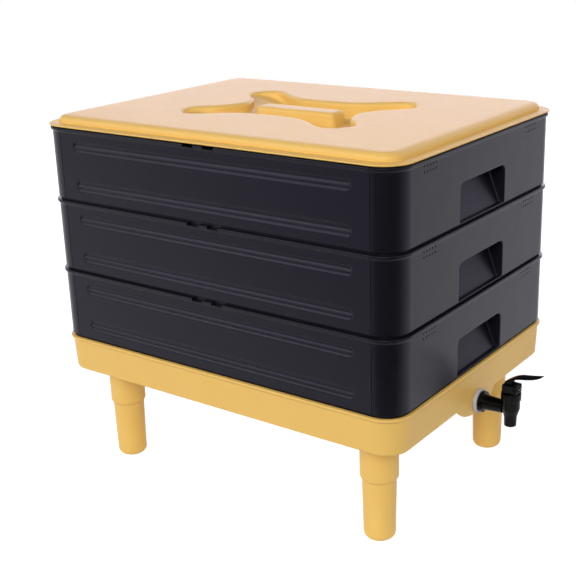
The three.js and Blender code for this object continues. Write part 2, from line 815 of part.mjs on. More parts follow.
function makeTapBody() {
  const flangeX = padFaceX + outerWasherThickness + 2 * fitGap;
  const barrel = turnedAlongX([
    [0, padBackX - shankReach],
    [tapShankRadius, padBackX - shankReach],
    [tapShankRadius, flangeX],
    [tapFlangeRadius, flangeX],
    [tapFlangeRadius, flangeX + tapFlangeThickness],
    [barrelRootRadius, flangeX + tapFlangeThickness],
    [barrelTipRadius, valveX - chamberRadius],
    [0, valveX - chamberRadius],
  ], tapSides, 0, tapHeight);
  const valve = turned([
    [0, spoutEndZ],
    [spoutTipRadius, spoutEndZ],
    [spoutRadius, valveTaperEndZ],
    [valveRadius, valveTaperTopZ],
    [valveRadius, collarTopZ - collarHeight],
    [collarRadius, collarTopZ - collarHeight + collarChamfer],
    [collarRadius, collarTopZ],
    [0, collarTopZ],
  ], tapSides, valveX, 0);
  const waterway = turnedAlongX([
    [0, padBackX - shankReach - cutOverrun],
    [barrelBore, padBackX - shankReach - cutOverrun],
    [barrelBore, valveX],
    [0, valveX],
  ], tapSides, 0, tapHeight);
  const chamber = turned([
    [0, spoutEndZ - cutOverrun],
    [spoutBore, spoutEndZ - cutOverrun],
    [spoutBore, seatZ],
    [chamberRadius, seatZ],
    [chamberRadius, collarTopZ + cutOverrun],
    [0, collarTopZ + cutOverrun],
  ], tapSides, valveX, 0);
  return barrel.add(valve).subtract(waterway).subtract(chamber);
}

function makeBonnet() {
  const top = bonnetZ + bonnetHeight;
  const back = valveX - bonnetBackReach;
  const front = valveX + bonnetFrontReach;
  const slotFloor = bonnetZ + bonnetFloor;
  const plugRadius = chamberRadius - fitGap;
  const plugTopZ = bonnetZ + fitGap;
  const plug = [[0, plugZ], [plugRadius, plugZ], [plugRadius, plugTopZ], [0, plugTopZ]];
  return block([back, -bonnetHalfWidth, bonnetZ], [front, bonnetHalfWidth, top])
    .add(turned(plug, tapSides, valveX, 0))
    .subtract(block(
      [valveX - bonnetSlotBack, -bonnetSlotHalf, slotFloor],
      [front + cutOverrun, bonnetSlotHalf, top + cutOverrun],
    ))
    .subtract(turned([
      [0, plugZ - cutOverrun],
      [stemRadius + fitGap, plugZ - cutOverrun],
      [stemRadius + fitGap, top],
      [0, top],
    ], tapSides, valveX, 0))
    .subtract(pinBar(pinRadius + fitGap, bonnetHalfWidth + cutOverrun));
}

// A bar along Y through the pin's place.
function pinBar(radius, halfWidth) {
  const bar = new THREE.CylinderGeometry(radius, radius, halfWidth * 2, tapSides);
  return solid(bar.translate(pinX, 0, pinZ));
}

function makeStem() {
  const headZ = pinZ + fitGap;
  const footZ = cupZ + cupHeight - cupSocketDepth + fitGap;
  return turned([
    [0, footZ],
    [stemRadius, footZ],
    [stemRadius, headZ],
    [stemHeadRadius, headZ],
    [stemHeadRadius, headZ + stemHeadThickness],
    [0, headZ + stemHeadThickness],
  ], tapSides, valveX, 0);
}

function makeSeatCup() {
  const topZ = cupZ + cupHeight;
  const socketZ = topZ - cupSocketDepth;
  const socketRadius = stemRadius + fitGap;
  return turned([
    [0, cupZ],
    [cupRadius, cupZ],
    [cupRadius, topZ],
    [socketRadius, topZ],
    [socketRadius, socketZ],
    [0, socketZ],
  ], tapSides, valveX, 0);
}

// The return spring: one wire of springTurns turns between the cup and the plug of the bonnet.
function makeSpring() {
  const lowZ = cupZ + cupHeight + fitGap + springWireRadius;
  const highZ = plugZ - fitGap - springWireRadius;
  const rings = [];
  const steps = springTurns * springStepsPerTurn;
  for (let step = 0; step <= steps; step++) {
    const angle = step / springStepsPerTurn * Math.PI * 2;
    const z = lowZ + (highZ - lowZ) * step / steps;
    const ring = [];
    for (let side = 0; side < springWireSides; side++) {
      const turn = side / springWireSides * Math.PI * 2;
      const radius = springRadius + springWireRadius * Math.cos(turn);
      const x = valveX + radius * Math.cos(angle);
      ring.push(new THREE.Vector3(x, radius * Math.sin(angle), z + springWireRadius * Math.sin(turn)));
    }
    rings.push(ring);
  }
  return loft(rings);
}

// Lever: a thumb arm that rises behind the pin and sweeps out over it, with two prongs under the stem's head
const leverHalfWidth = 7;
const leverNeckHalf = 4.6;
const leverTipHalf = 1.2;
const leverBackReach = 7.4;
const leverReach = 38.9;
const leverHeight = 28.4;
const leverTurn = 25;
const leverToplineShares = [
  [-0.177, 0.419], [-0.095, 0.525], [0.044, 0.651], [0.185, 0.736], [0.301, 0.785], [0.488, 0.82],
  [0.71, 0.88], [0.887, 0.951], [1, 1],
];
const leverUndersideShares = [
  [0.907, 0.877], [0.725, 0.789], [0.499, 0.729], [0.316, 0.694], [0.229, 0.634], [0.219, 0.511],
];
const leverShoulderHeight = 11.6;
const neckRadius = 1.6;

function makeLever() {
  const place = ([x, z]) => [valveX + x * leverReach, bonnetZ + z * leverHeight];
  const headClearZ = pinZ + fitGap * 2 + stemHeadThickness + prongDepth;
  const lug = [];
  for (let step = 0; step <= cornerSteps; step++) {
    const angle = (-1 + step / cornerSteps) * Math.PI / 2;
    lug.push([pinX + lugRadius * Math.cos(angle), pinZ + lugRadius * Math.sin(angle)]);
  }
  const neckX = pinX - lugRadius + prongOverlap;
  const outline = [
    [valveX - prongOverlap, pinZ],
    [valveX - prongOverlap, pinZ - prongDepth],
    ...lug,
    [pinX + neckRadius, headClearZ],
    ...leverUndersideShares.slice().reverse().map(place),
    ...leverToplineShares.slice().reverse().map(place),
    [valveX - leverBackReach, headClearZ],
    [neckX, headClearZ],
    [neckX, pinZ],
  ];
  const body = slabAlongY(outline, -leverHalfWidth, leverHalfWidth);
  const shoulderZ = bonnetZ + leverShoulderHeight;
  const farX = valveX + leverReach;
  const highZ = bonnetZ + leverHeight + cutOverrun;
  const neck = block(
    [valveX - leverBackReach - cutOverrun, -leverNeckHalf, bonnetZ],
    [farX, leverNeckHalf, shoulderZ + cutOverrun],
  );
  const plan = [
    [valveX - leverBackReach - cutOverrun, leverNeckHalf],
    [valveX, leverHalfWidth],
    [(valveX + farX) / 2, leverHalfWidth],
    [farX + cutOverrun, leverTipHalf],
  ];
  const planLoop = [...plan, ...plan.slice().reverse().map(([x, y]) => [x, -y])];
  const arm = loft([shoulderZ, highZ].map((z) => planLoop.map(([x, y]) => new THREE.Vector3(x, y, z))));
  const stemSlot = stemRadius + fitGap;
  const swingClear = prongDepth * Math.sin(THREE.MathUtils.degToRad(leverTurn));
  return body.intersect(neck.add(arm))
    .subtract(block(
      [valveX - prongOverlap - cutOverrun, -stemSlot, pinZ - prongDepth - cutOverrun],
      [valveX + stemSlot + swingClear, stemSlot, pinZ + cutOverrun / 2],
    ))
    .subtract(pinBar(pinRadius + fitGap, leverHalfWidth));
}

// The whole object, with the middle of its bounding box over the origin
const wormery = new THREE.Group();
wormery.add(piece('base_tray', makeBase(), yellowPlastic));
const legPlaces = {
  leg_front_left: [-legX, -legY],
  leg_front_right: [legX, -legY],
  leg_back_left: [-legX, legY],
  leg_back_right: [legX, legY],
};
for (const [name, [x, y]] of Object.entries(legPlaces)) {
  wormery.add(piece(name, makeLeg(x, y), yellowPlastic));
}
trayNames.forEach((name, level) => {
  const rimZ = baseRimZ + trayPitch * (level + 1);
  const frontPanel = makeFrontPanel(rimZ);
  const rightEnd = makeRightEnd(rimZ);
  wormery.add(piece(`${name}_tray_front_panel`, frontPanel, blackPlastic));
  wormery.add(piece(`${name}_tray_back_panel`, frontPanel.rotate([0, 0, 180]), blackPlastic));
  wormery.add(piece(`${name}_tray_right_end`, rightEnd, blackPlastic));
  wormery.add(piece(`${name}_tray_left_end`, rightEnd.rotate([0, 0, 180]), blackPlastic));
  wormery.add(piece(`${name}_tray_floor`, makeFloor(rimZ), blackPlastic));
});
wormery.add(piece('lid', makeLid(), yellowPlastic));
wormery.add(piece('tap_body', makeTapBody(), tapPlastic));
const innerWasherX = padBackX - fitGap - innerWasherThickness;
const outerWasher = shankRing(padFaceX + fitGap, outerWasherThickness, outerWasherRadius, tapSides);
const innerWasher = shankRing(innerWasherX, innerWasherThickness, innerWasherRadius, tapSides);
const nut = shankRing(innerWasherX - fitGap - nutThickness, nutThickness, nutRadius, nutSides);
wormery.add(piece('tap_outer_washer', outerWasher, greyRubber));
wormery.add(piece('tap_inner_washer', innerWasher, greyRubber));
wormery.add(piece('tap_nut', nut, tapPlastic));
wormery.add(piece('tap_bonnet', makeBonnet(), tapPlastic));
wormery.add(piece('tap_pin', pinBar(pinRadius, bonnetHalfWidth), springSteel));
wormery.add(piece('tap_stem', makeStem(), tapPlastic));
wormery.add(piece('tap_seat_cup', makeSeatCup(), siliconeRubber));
wormery.add(piece('tap_spring', makeSpring(), springSteel));
wormery.add(piece('tap_lever', makeLever(), tapPlastic));

const bounds = new THREE.Box3().setFromObject(wormery);
wormery.position.x = -(bounds.min.x + bounds.max.x) / 2;

export default wormery;
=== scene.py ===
import bmesh
import bpy
import numpy as np
from mathutils import Matrix, Vector


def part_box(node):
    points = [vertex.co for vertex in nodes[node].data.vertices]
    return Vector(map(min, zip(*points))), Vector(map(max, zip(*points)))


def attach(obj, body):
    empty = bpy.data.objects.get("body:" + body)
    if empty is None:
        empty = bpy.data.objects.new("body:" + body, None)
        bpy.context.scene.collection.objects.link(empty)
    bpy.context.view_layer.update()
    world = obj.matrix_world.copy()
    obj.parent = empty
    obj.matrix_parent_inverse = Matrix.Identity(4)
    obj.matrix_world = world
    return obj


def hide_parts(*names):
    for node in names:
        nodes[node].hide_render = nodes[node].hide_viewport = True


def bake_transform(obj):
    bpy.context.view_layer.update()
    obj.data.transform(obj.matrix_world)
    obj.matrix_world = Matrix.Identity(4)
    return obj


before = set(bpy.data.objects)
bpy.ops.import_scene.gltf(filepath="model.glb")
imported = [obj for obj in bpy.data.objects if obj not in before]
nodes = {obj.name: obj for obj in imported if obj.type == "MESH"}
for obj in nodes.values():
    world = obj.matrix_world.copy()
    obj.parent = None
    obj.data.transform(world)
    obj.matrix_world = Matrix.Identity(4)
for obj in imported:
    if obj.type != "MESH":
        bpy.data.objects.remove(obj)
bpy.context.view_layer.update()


# ---- Base tray ----
# One injection moulding in yellow polypropylene: a shallow tray with a beaded rim, four leg sleeves
# underneath and a sump that falls to the tap's pad. The spark-eroded mould leaves a fine satin grain.
MM = 0.001
lid_low, lid_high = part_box("lid")
STACK_MIDDLE = np.array([(lid_low.x + lid_high.x) / 2, 0, 0])
HALF_LENGTH, HALF_DEPTH, CORNER_RADIUS, CORNER_STEPS = 252.4, 190.5, 33, 18
STAND_HEIGHT, BASE_RIM = 131, 175.9
RIM_INSET, WALL_INSET, INNER_INSET = 1, 3.4, 6
SEAT_DROP, LEDGE_WIDTH, LEDGE_THICKNESS = 5.3, 4, 2
BASE_DRAFT, BASE_FLOOR, BASE_WALL = 1.8, 133.6, 2.6
BASE_EDGE_ROUND, BASE_FLOOR_FILLET = 3.5, 1.6
LEG_X, LEG_Y = 195.4, 135.1
LEG_PLACES = {"leg_front_left": (-LEG_X, -LEG_Y), "leg_front_right": (LEG_X, -LEG_Y),
              "leg_back_left": (-LEG_X, LEG_Y), "leg_back_right": (LEG_X, LEG_Y)}
SLEEVE_BORE, SLEEVE_RADIUS, SLEEVE_TIP, SLEEVE_FILLET = 19.5, 22.4, 75.3, 1.5
TAP_HEIGHT, TAP_HOLE_RADIUS, BOSS_RADIUS = 130, 8.3, 14.5
PAD_FACE, PAD_BACK, PAD_PROUD, PAD_MIDDLE = 248.4, 244.6, 1.2, 136.5
PAD_HALF_WIDTH, PAD_HALF_HEIGHT, PAD_TAPER = 46, 22, (27, 7.5)
SUMP_START, SUMP_DEPTH = 60, 16.5


def arc(centre, across, up, start, end, steps):
    """Points of an ellipse about centre: across × cos and up × sin of angles from start to end, in degrees."""
    turn = np.radians(np.linspace(start, end, steps + 1))
    return np.stack([centre[0] + across * np.cos(turn), centre[1] + up * np.sin(turn)], 1)


def corner_rays(corners):
    """Corner centres of the plan outline and the unit directions out of them, anticlockwise from the front
    right."""
    corner = np.repeat(np.asarray(corners), CORNER_STEPS + 1)
    step = np.tile(np.arange(CORNER_STEPS + 1) / CORNER_STEPS, len(corners))
    turn = (corner - 1 + step) * np.pi / 2
    right = np.where(corner <= 1, 1, -1)
    back = np.where((corner == 1) | (corner == 2), 1, -1)
    centre = np.stack([(HALF_LENGTH - CORNER_RADIUS) * right, (HALF_DEPTH - CORNER_RADIUS) * back], 1)
    return centre, np.stack([np.cos(turn), np.sin(turn)], 1)


def plan_rings(profile, rays):
    """Rings of the rounded plan, one for each (inset, z): point = corner centre + (corner radius - inset) ×
    direction."""
    centre, way = rays
    inset, z = np.asarray(profile, float).T
    flat = centre[None] + (CORNER_RADIUS - inset)[:, None, None] * way[None]
    return np.dstack([flat, np.broadcast_to(z[:, None], flat.shape[:2])])


def turned_rings(profile, sides, middle, along="z"):
    """Rings of a turned piece, one for each (radius, height on the axis): radius × cos and sin of even angles
    about middle."""
    radius, height = np.asarray(profile, float).T
    turn = np.arange(sides) * 2 * np.pi / sides
    across, up = np.outer(radius, np.cos(turn)), np.outer(radius, np.sin(turn))
    level = np.broadcast_to(height[:, None], across.shape)
    if along == "z":
        return np.dstack([across + middle[0], up + middle[1], level])
    return np.dstack([level, across + middle[0], up + middle[1]])


def skin(name, rings, holed=False):
    """A closed moulding in metres: quads between neighbouring rings, and one flat face over the first ring and
    the last. A holed piece joins its last ring to its first instead."""
    rows, count = rings.shape[:2]
    index = np.arange(rows * count).reshape(rows, count)
    ends = [] if holed else [index[0][::-1].tolist(), index[-1].tolist()]
    if holed:
        index = np.vstack([index, index[:1]])
    beside = np.roll(index, -1, 1)
    quads = np.stack([index[:-1], beside[:-1], beside[1:], index[1:]], -1).reshape(-1, 4)
    mesh = bpy.data.meshes.new(name)
    mesh.from_pydata((rings.reshape(-1, 3) * MM + STACK_MIDDLE).tolist(), [], quads.tolist() + ends)
    shell = bmesh.new()
    shell.from_mesh(mesh)
    if shell.calc_volume(signed=True) < 0:
        bmesh.ops.reverse_faces(shell, faces=shell.faces)
    shell.to_mesh(mesh)
    shell.free()
    piece = bpy.data.objects.new(name, mesh)
    bpy.context.scene.collection.objects.link(piece)
    return piece


def brick(name, low, high):
    """A plain block between two corners, for ribs and cuts."""
    (x0, y0, z0), (x1, y1, z1) = low, high
    ring = np.array([[x0, y0], [x1, y0], [x1, y1], [x0, y1]], float)
    return skin(name, np.stack([np.c_[ring, np.full(4, z)] for z in (z0, z1)]))


def carve(piece, tool, way):
    """Joins (UNION) or cuts (DIFFERENCE) a closed tool mesh with piece, keeps the result, removes the tool."""
    change = piece.modifiers.new("carve", "BOOLEAN")
    change.operation, change.solver, change.object = way, "MANIFOLD", tool
    bpy.context.view_layer.update()
    result = bpy.data.meshes.new_from_object(piece.evaluated_get(bpy.context.evaluated_depsgraph_get()))
    plain, spare = piece.data, tool.data
    piece.modifiers.clear()
    piece.data = result
    result.name = piece.name
    bpy.data.objects.remove(tool)
    bpy.data.meshes.remove(plain)
    bpy.data.meshes.remove(spare)
    return piece


def fit(piece, body, node, finish, crease=32):
    """Gives a moulding its finish and soft shading, and puts it on its body in place of its CAD node."""
    mesh = piece.data
    mesh.materials.clear()
    mesh.materials.append(finish)
    mesh.polygons.foreach_set("use_smooth", np.ones(len(mesh.polygons), bool))
    mesh.set_sharp_from_angle(angle=np.radians(crease))
    flatten = piece.modifiers.new("flat faces stay flat", "WEIGHTED_NORMAL")
    flatten.keep_sharp = True
    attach(piece, body)
    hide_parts(node)
    return piece


def linear(code):
    """An sRGB hex colour as linear light: c / 12.92 up to 0.04045, and ((c + 0.055) / 1.055) to the power 2.4
    above it."""
    c = np.array([int(code[i:i + 2], 16) for i in (1, 3, 5)]) / 255
    return (*np.where(c <= 0.04045, c / 12.92, ((c + 0.055) / 1.055) ** 2.4), 1.0)


def add_node(tree, kind, values=None, links=None, **settings):
    """Adds a shader node with its settings, socket values and links from other nodes' outputs."""
    node = tree.nodes.new(kind)
    for name, value in settings.items():
        setattr(node, name, value)
    for socket, value in (values or {}).items():
        node.inputs[socket].default_value = value
    for socket, source in (links or {}).items():
        tree.links.new(source, node.inputs[socket])
    return node


CLOUD_SIZE, SCUFF_SIZE, WAVE_SIZE = 70, 9, 45


def moulded_plastic(name, pale, deep, ior, gloss, grain_size, grain_height, wave_height):
    """Moulded plastic: two close shades in slow clouds, roughness between the two gloss values in fine scuffs,
    and a bump of mould grain (grain_size wide) over the slow waves that cooling leaves in a thin wall."""
    material = bpy.data.materials.new(name)
    material.use_nodes = True
    tree = material.node_tree
    shader = tree.nodes["Principled BSDF"]
    place = add_node(tree, "ShaderNodeTexCoord").outputs["Object"]
    cloud = add_node(tree, "ShaderNodeTexNoise",
                     {"Scale": 1 / (CLOUD_SIZE * MM), "Detail": 3, "Roughness": 0.55}, {"Vector": place})
    shade = add_node(tree, "ShaderNodeMix", {6: linear(deep), 7: linear(pale)}, {0: cloud.outputs["Fac"]},
                     data_type="RGBA")
    stretch = add_node(tree, "ShaderNodeMapping", {"Scale": (1, 1, 4)}, {"Vector": place})
    scuff = add_node(tree, "ShaderNodeTexNoise",
                     {"Scale": 1 / (SCUFF_SIZE * MM), "Detail": 6, "Roughness": 0.7},
                     {"Vector": stretch.outputs["Vector"]})
    worn = add_node(tree, "ShaderNodeMapRange", {"From Min": 0.3, "From Max": 0.75, "To Min": gloss[0],
                                                 "To Max": gloss[1]}, {"Value": scuff.outputs["Fac"]})
    wave = add_node(tree, "ShaderNodeTexNoise", {"Scale": 1 / (WAVE_SIZE * MM), "Detail": 1}, {"Vector": place})
    sink = add_node(tree, "ShaderNodeBump", {"Strength": 1, "Distance": wave_height * MM},
                    {"Height": wave.outputs["Fac"]})
    grain = add_node(tree, "ShaderNodeTexNoise", {"Scale": 1 / (grain_size * MM), "Detail": 2},
                     {"Vector": place})
    skin_bump = add_node(tree, "ShaderNodeBump", {"Strength": 1, "Distance": grain_height * MM},
                         {"Height": grain.outputs["Fac"], "Normal": sink.outputs["Normal"]})
    tree.links.new(shade.outputs[2], shader.inputs["Base Color"])
    tree.links.new(worn.outputs["Result"], shader.inputs["Roughness"])
    tree.links.new(skin_bump.outputs["Normal"], shader.inputs["Normal"])
    shader.inputs["IOR"].default_value = ior
    return material


# Polypropylene from a spark-eroded mould: satin, so that it glows at grazing angles and stays warm head on.
# Its index is matched a little under the real 1.49, so that the white room it mirrors doesn't bleach it.
yellow_polypropylene = moulded_plastic("satin_moulded_yellow_polypropylene", "#ECC269", "#E8BC61", 1.38,
                                       (0.4, 0.5), 1.3, 0.03, 0.35)


def rim_bead(rim, steps=5):
    """The bead round a rim, listed upwards as (inset, z): a sloped underside, a proud band, a rounded top."""
    slope = np.array([[WALL_INSET, rim - 5.4], [3.2, rim - 4.95], [2.6, rim - 4.25], [1.8, rim - 3.6],
                      [1.25, rim - 3.1], [RIM_INSET, rim - 2.5]])
    return np.vstack([slope, arc((RIM_INSET + 1.2, rim - 1.2), -1.2, 1.2, 0, 90, steps)])


def seat_ledge(rim):
    """The ledge inside a rim that carries the tray above, listed downwards as (inset, z)."""
    top, reach = rim - SEAT_DROP, INNER_INSET + LEDGE_WIDTH
    return np.array([[INNER_INSET - 0.5, rim], [INNER_INSET, rim - 0.5], [INNER_INSET, top],
                     [reach, top], [reach, top - LEDGE_THICKNESS], [INNER_INSET, top - LEDGE_THICKNESS]])


all_round = corner_rays([0, 1, 2, 3])
base_foot = arc((WALL_INSET + BASE_DRAFT + BASE_EDGE_ROUND, STAND_HEIGHT + BASE_EDGE_ROUND),
                -BASE_EDGE_ROUND, -BASE_EDGE_ROUND, 90, 0, 6)
floor_fillet = arc((INNER_INSET + BASE_DRAFT + BASE_FLOOR_FILLET, BASE_FLOOR + BASE_FLOOR_FILLET),
                   -BASE_FLOOR_FILLET, -BASE_FLOOR_FILLET, 0, 90, 4)
base_profile = np.vstack([base_foot, rim_bead(BASE_RIM), seat_ledge(BASE_RIM), floor_fillet])
base = skin("base_tray_moulding", plan_rings(base_profile, all_round))

INSIDE_FLOOR = STAND_HEIGHT + BASE_WALL / 2
sleeve_outside = np.vstack([
    [[SLEEVE_BORE - 2.5, INSIDE_FLOOR]], [[SLEEVE_BORE - 2.5, SLEEVE_TIP]],
    arc((SLEEVE_BORE + 0.6, SLEEVE_TIP + 0.4), 0.4, -0.4, 90, 0, 3),
    [[SLEEVE_RADIUS - 0.3, SLEEVE_TIP + 3]], [[SLEEVE_RADIUS - 0.15, SLEEVE_TIP + 3.9]],
    [[SLEEVE_RADIUS, STAND_HEIGHT - SLEEVE_FILLET]],
    arc((SLEEVE_RADIUS + SLEEVE_FILLET, STAND_HEIGHT - SLEEVE_FILLET), -SLEEVE_FILLET, SLEEVE_FILLET, 0, 90, 4),
    [[SLEEVE_RADIUS + SLEEVE_FILLET, INSIDE_FLOOR]],
])
sleeve_inside = [[SLEEVE_BORE, 70], [SLEEVE_BORE, STAND_HEIGHT]]
for x, y in LEG_PLACES.values():
    carve(base, skin("sleeve", turned_rings(sleeve_outside, 64, (x, y))), "UNION")
    carve(base, skin("bore", turned_rings(sleeve_inside, 64, (x, y))), "DIFFERENCE")


def pad_rings(steps=64):
    """The tap's pad: an ellipse 92 by 44 across that narrows evenly while x rises by (1 - cos) / 2 of its
    height, so that its edge swells out of the wall on a long soft slope."""
    out = np.linspace(0, 1, 9)
    x = np.r_[PAD_BACK, PAD_FACE - PAD_PROUD + PAD_PROUD * (1 - np.cos(out * np.pi)) / 2]
    taper = np.r_[0, out]
    turn = np.arange(steps) * 2 * np.pi / steps
    y = (PAD_HALF_WIDTH - PAD_TAPER[0] * taper)[:, None] * np.cos(turn)
    z = PAD_MIDDLE + (PAD_HALF_HEIGHT - PAD_TAPER[1] * taper)[:, None] * np.sin(turn)
    return np.dstack([np.broadcast_to(x[:, None], y.shape), y, z])


def sump_rings(start, lip, top, half_width, steps=24):
    """The sump: z = lip - depth × (1 - across squared), with the depth growing evenly along X from nothing at
    start, under a flat top."""
    across = np.linspace(-1, 1, steps + 1)
    rows = []
    for x, dip in ((start, 0), (PAD_BACK, SUMP_DEPTH)):
        y = np.r_[half_width, -half_width, across * half_width]
        z = np.r_[top, top, lip - dip * (1 - across ** 2)]
        rows.append(np.c_[np.full(len(y), x), y, z])
    return np.array(rows)


tap_axis = (0, TAP_HEIGHT)
boss = [[BOSS_RADIUS, PAD_BACK], [BOSS_RADIUS, PAD_FACE - PAD_PROUD]]
tap_hole = [[TAP_HOLE_RADIUS, 240], [TAP_HOLE_RADIUS, 256]]
carve(base, skin("pad", pad_rings()), "UNION")
carve(base, skin("sump", sump_rings(SUMP_START, STAND_HEIGHT, INSIDE_FLOOR, PAD_HALF_WIDTH)), "UNION")
carve(base, skin("sump_inside", sump_rings(SUMP_START + BASE_WALL, BASE_FLOOR, BASE_FLOOR + 2,
                                           PAD_HALF_WIDTH - BASE_WALL)), "DIFFERENCE")
carve(base, skin("boss", turned_rings(boss, 48, tap_axis, "x")), "UNION")
carve(base, skin("tap_hole", turned_rings(tap_hole, 48, tap_axis, "x")), "DIFFERENCE")
fit(base, "stand", "base_tray", yellow_polypropylene)


# ---- Legs ----
# Hollow tapered tubes with a closed rounded foot, moulded in the same yellow polypropylene.
# Each pushes up into its sleeve until its shoulder meets the sleeve's end.
FOOT_RADIUS, FOOT_ROUND, SHOULDER_RADIUS, SPIGOT_RADIUS, LEG_WALL = 18.6, 8, 19.9, 19.2, 2.4
LEG_SHOULDER, LEG_TOP = SLEEVE_TIP - 0.4, STAND_HEIGHT - 0.3
leg_profile = np.vstack([
    [[FOOT_RADIUS - FOOT_ROUND - 0.6, 0]],
    arc((FOOT_RADIUS - FOOT_ROUND, FOOT_ROUND), FOOT_ROUND, -FOOT_ROUND, 90, 0, 10),
    [[SHOULDER_RADIUS - 0.05, LEG_SHOULDER - 0.7]], [[SHOULDER_RADIUS - 0.6, LEG_SHOULDER]],
    [[SPIGOT_RADIUS, LEG_SHOULDER]], [[SPIGOT_RADIUS, LEG_TOP - 0.5]], [[SPIGOT_RADIUS - 0.5, LEG_TOP]],
    [[SPIGOT_RADIUS - LEG_WALL, LEG_TOP]], [[SPIGOT_RADIUS - LEG_WALL, LEG_SHOULDER]],
    [[FOOT_RADIUS - LEG_WALL, FOOT_ROUND]], [[FOOT_RADIUS - FOOT_ROUND, LEG_WALL]],
])
for name, place in LEG_PLACES.items():
    leg = skin(name + "_moulding", turned_rings(leg_profile, 64, place))
    fit(leg, "stand", name, yellow_polypropylene)


# ---- Tray panels ----
# The front and back of each tray: a black polypropylene moulding with two pressed grooves that stiffen the
# thin wall, two drain notches in the rim and a tongue at either end that slides into the end piece.
TRAYS, TRAY_PITCH = {"bottom": 1, "middle": 2, "top": 3}, 89.6
SEAM, SEAM_GAP = HALF_LENGTH - CORNER_RADIUS, 0.6
GROOVE_DROPS, GROOVE_HEIGHT, GROOVE_DEPTH = (20.7, 68.5), 13, 1.5
GROOVE_HALF, GROOVE_END, GROOVE_BACKING = 191, 6, 8.1
SHELF, SPIGOT_FOOT, SPIGOT_INSET, SPIGOT_INNER = -86.6, -94.6, 6.5, 8.9
WALL_ROWS = 112
NOTCH_EDGES, NOTCH_DEPTH, TAB_DROP = np.array([6.8, 7.2, 21.8, 22.2]), 2.7, 0.3
TONGUE_FOOT, TONGUE_TOP, TONGUE_REACH, TONGUE_FACE = 81.4, 9.9, 5, 3.2

# The same polymer with carbon black: deep charcoal, satin, with a cool sheen where it mirrors the room.
# Its index is matched well under the real 1.49, so that the white floor it mirrors doesn't turn it grey.
black_polypropylene = moulded_plastic("satin_moulded_black_polypropylene", "#121217", "#0F0F13", 1.3,
                                      (0.27, 0.37), 1.1, 0.022, 0.3)
black_shader = black_polypropylene.node_tree.nodes["Principled BSDF"]
black_shader.inputs["Specular Tint"].default_value = linear("#E0DEFF")


def tray_section():
    """The tray wall's closed section as (inset, z below its rim): spigot, shelf, wall, bead, seat ledge and
    floor ledge."""
    wall = np.c_[np.full(WALL_ROWS, float(WALL_INSET)), np.linspace(SHELF + 0.5, -5.9, WALL_ROWS)]
    ledge_top, ledge_reach = SPIGOT_FOOT + LEDGE_THICKNESS, SPIGOT_INNER + LEDGE_WIDTH
    inside = np.array([[INNER_INSET, -80.4], [SPIGOT_INNER, -83.4], [SPIGOT_INNER, ledge_top],
                       [ledge_reach, ledge_top], [ledge_reach, SPIGOT_FOOT]])
    return np.vstack([[[SPIGOT_INSET, SPIGOT_FOOT], [SPIGOT_INSET, SHELF], [WALL_INSET + 0.5, SHELF]],
                      wall, rim_bead(0), seat_ledge(0), inside])


def groove_depth(x, z):
    """How deep the wall is pressed at (x, z): a smooth profile over the groove's height, inside an outline
    whose ends are half ellipses."""
    past = np.clip((np.abs(x) - GROOVE_HALF) / GROOVE_END, 0, 1)
    swell = np.sqrt(1 - past ** 2)
    height = np.array([-0.5, -0.42, -0.33, -0.26, -0.2, -0.12, -0.05, 0.02, 0.12, 0.2, 0.4, 0.47, 0.5])
    share = np.array([0, 0.45, 1, 1, 0.55, 0.08, 0.08, 0.5, 1, 1, 1, 0.4, 0])
    depth = np.zeros(np.broadcast(x, z).shape)
    for drop in GROOVE_DROPS:
        level = (z + drop) / (GROOVE_HEIGHT * np.maximum(swell, 0.05))
        depth += np.interp(level, height, share, 0, 0) * GROOVE_DEPTH * np.minimum(1, swell * 1.3)
    return depth


def rim_drop(x):
    """How far the rim's top is let down at x: deep in each notch, a little at the tab between them, with
    steep sides."""
    return np.interp(np.abs(x), [0, *NOTCH_EDGES], [TAB_DROP, TAB_DROP, NOTCH_DEPTH, NOTCH_DEPTH, 0])


def make_panel(rim):
    """The front panel: the section carried along X, its wall pressed by the grooves and its rim let down at
    the notches, with thicker wall behind the grooves and a tongue at either end."""
    end, groove_reach = SEAM - SEAM_GAP, GROOVE_HALF + GROOVE_END
    fine = np.linspace(GROOVE_HALF - 7, GROOVE_HALF + 7, 22)
    x = np.unique(np.r_[-end, end, np.linspace(7 - GROOVE_HALF, GROOVE_HALF - 7, 47), fine, -fine,
                        NOTCH_EDGES, -NOTCH_EDGES, [-210, 210]])[:, None]
    inset, z = tray_section().T
    outer = inset < INNER_INSET - 1
    pressed = inset + np.where(outer, groove_depth(x, z), 0)
    top = np.clip((z + 4) / 4, 0, 1)
    level = z - rim_drop(x) * top
    y = -(HALF_DEPTH - pressed)
    panel = skin("panel", np.dstack([np.broadcast_to(x, y.shape), y, level + rim]))
    inner = -(HALF_DEPTH - INNER_INSET)
    for drop in GROOVE_DROPS:
        carve(panel, brick("backing", (-groove_reach, inner - 0.5, rim - drop - GROOVE_BACKING),
                           (groove_reach, inner + 1.6, rim - drop + GROOVE_BACKING)), "UNION")
    for side in (-1, 1):
        root, tip = side * (end - TONGUE_REACH), side * (SEAM + TONGUE_REACH)
        for name, reach, near, far in (("tongue", tip, 1.4, TONGUE_FACE),
                                       ("tongue_root", side * end, -1.3, 2.3)):
            carve(panel, brick(name, (min(root, reach), inner + near, rim - TONGUE_FOOT),
                               (max(root, reach), inner + far, rim - TONGUE_TOP)), "UNION")
    return panel


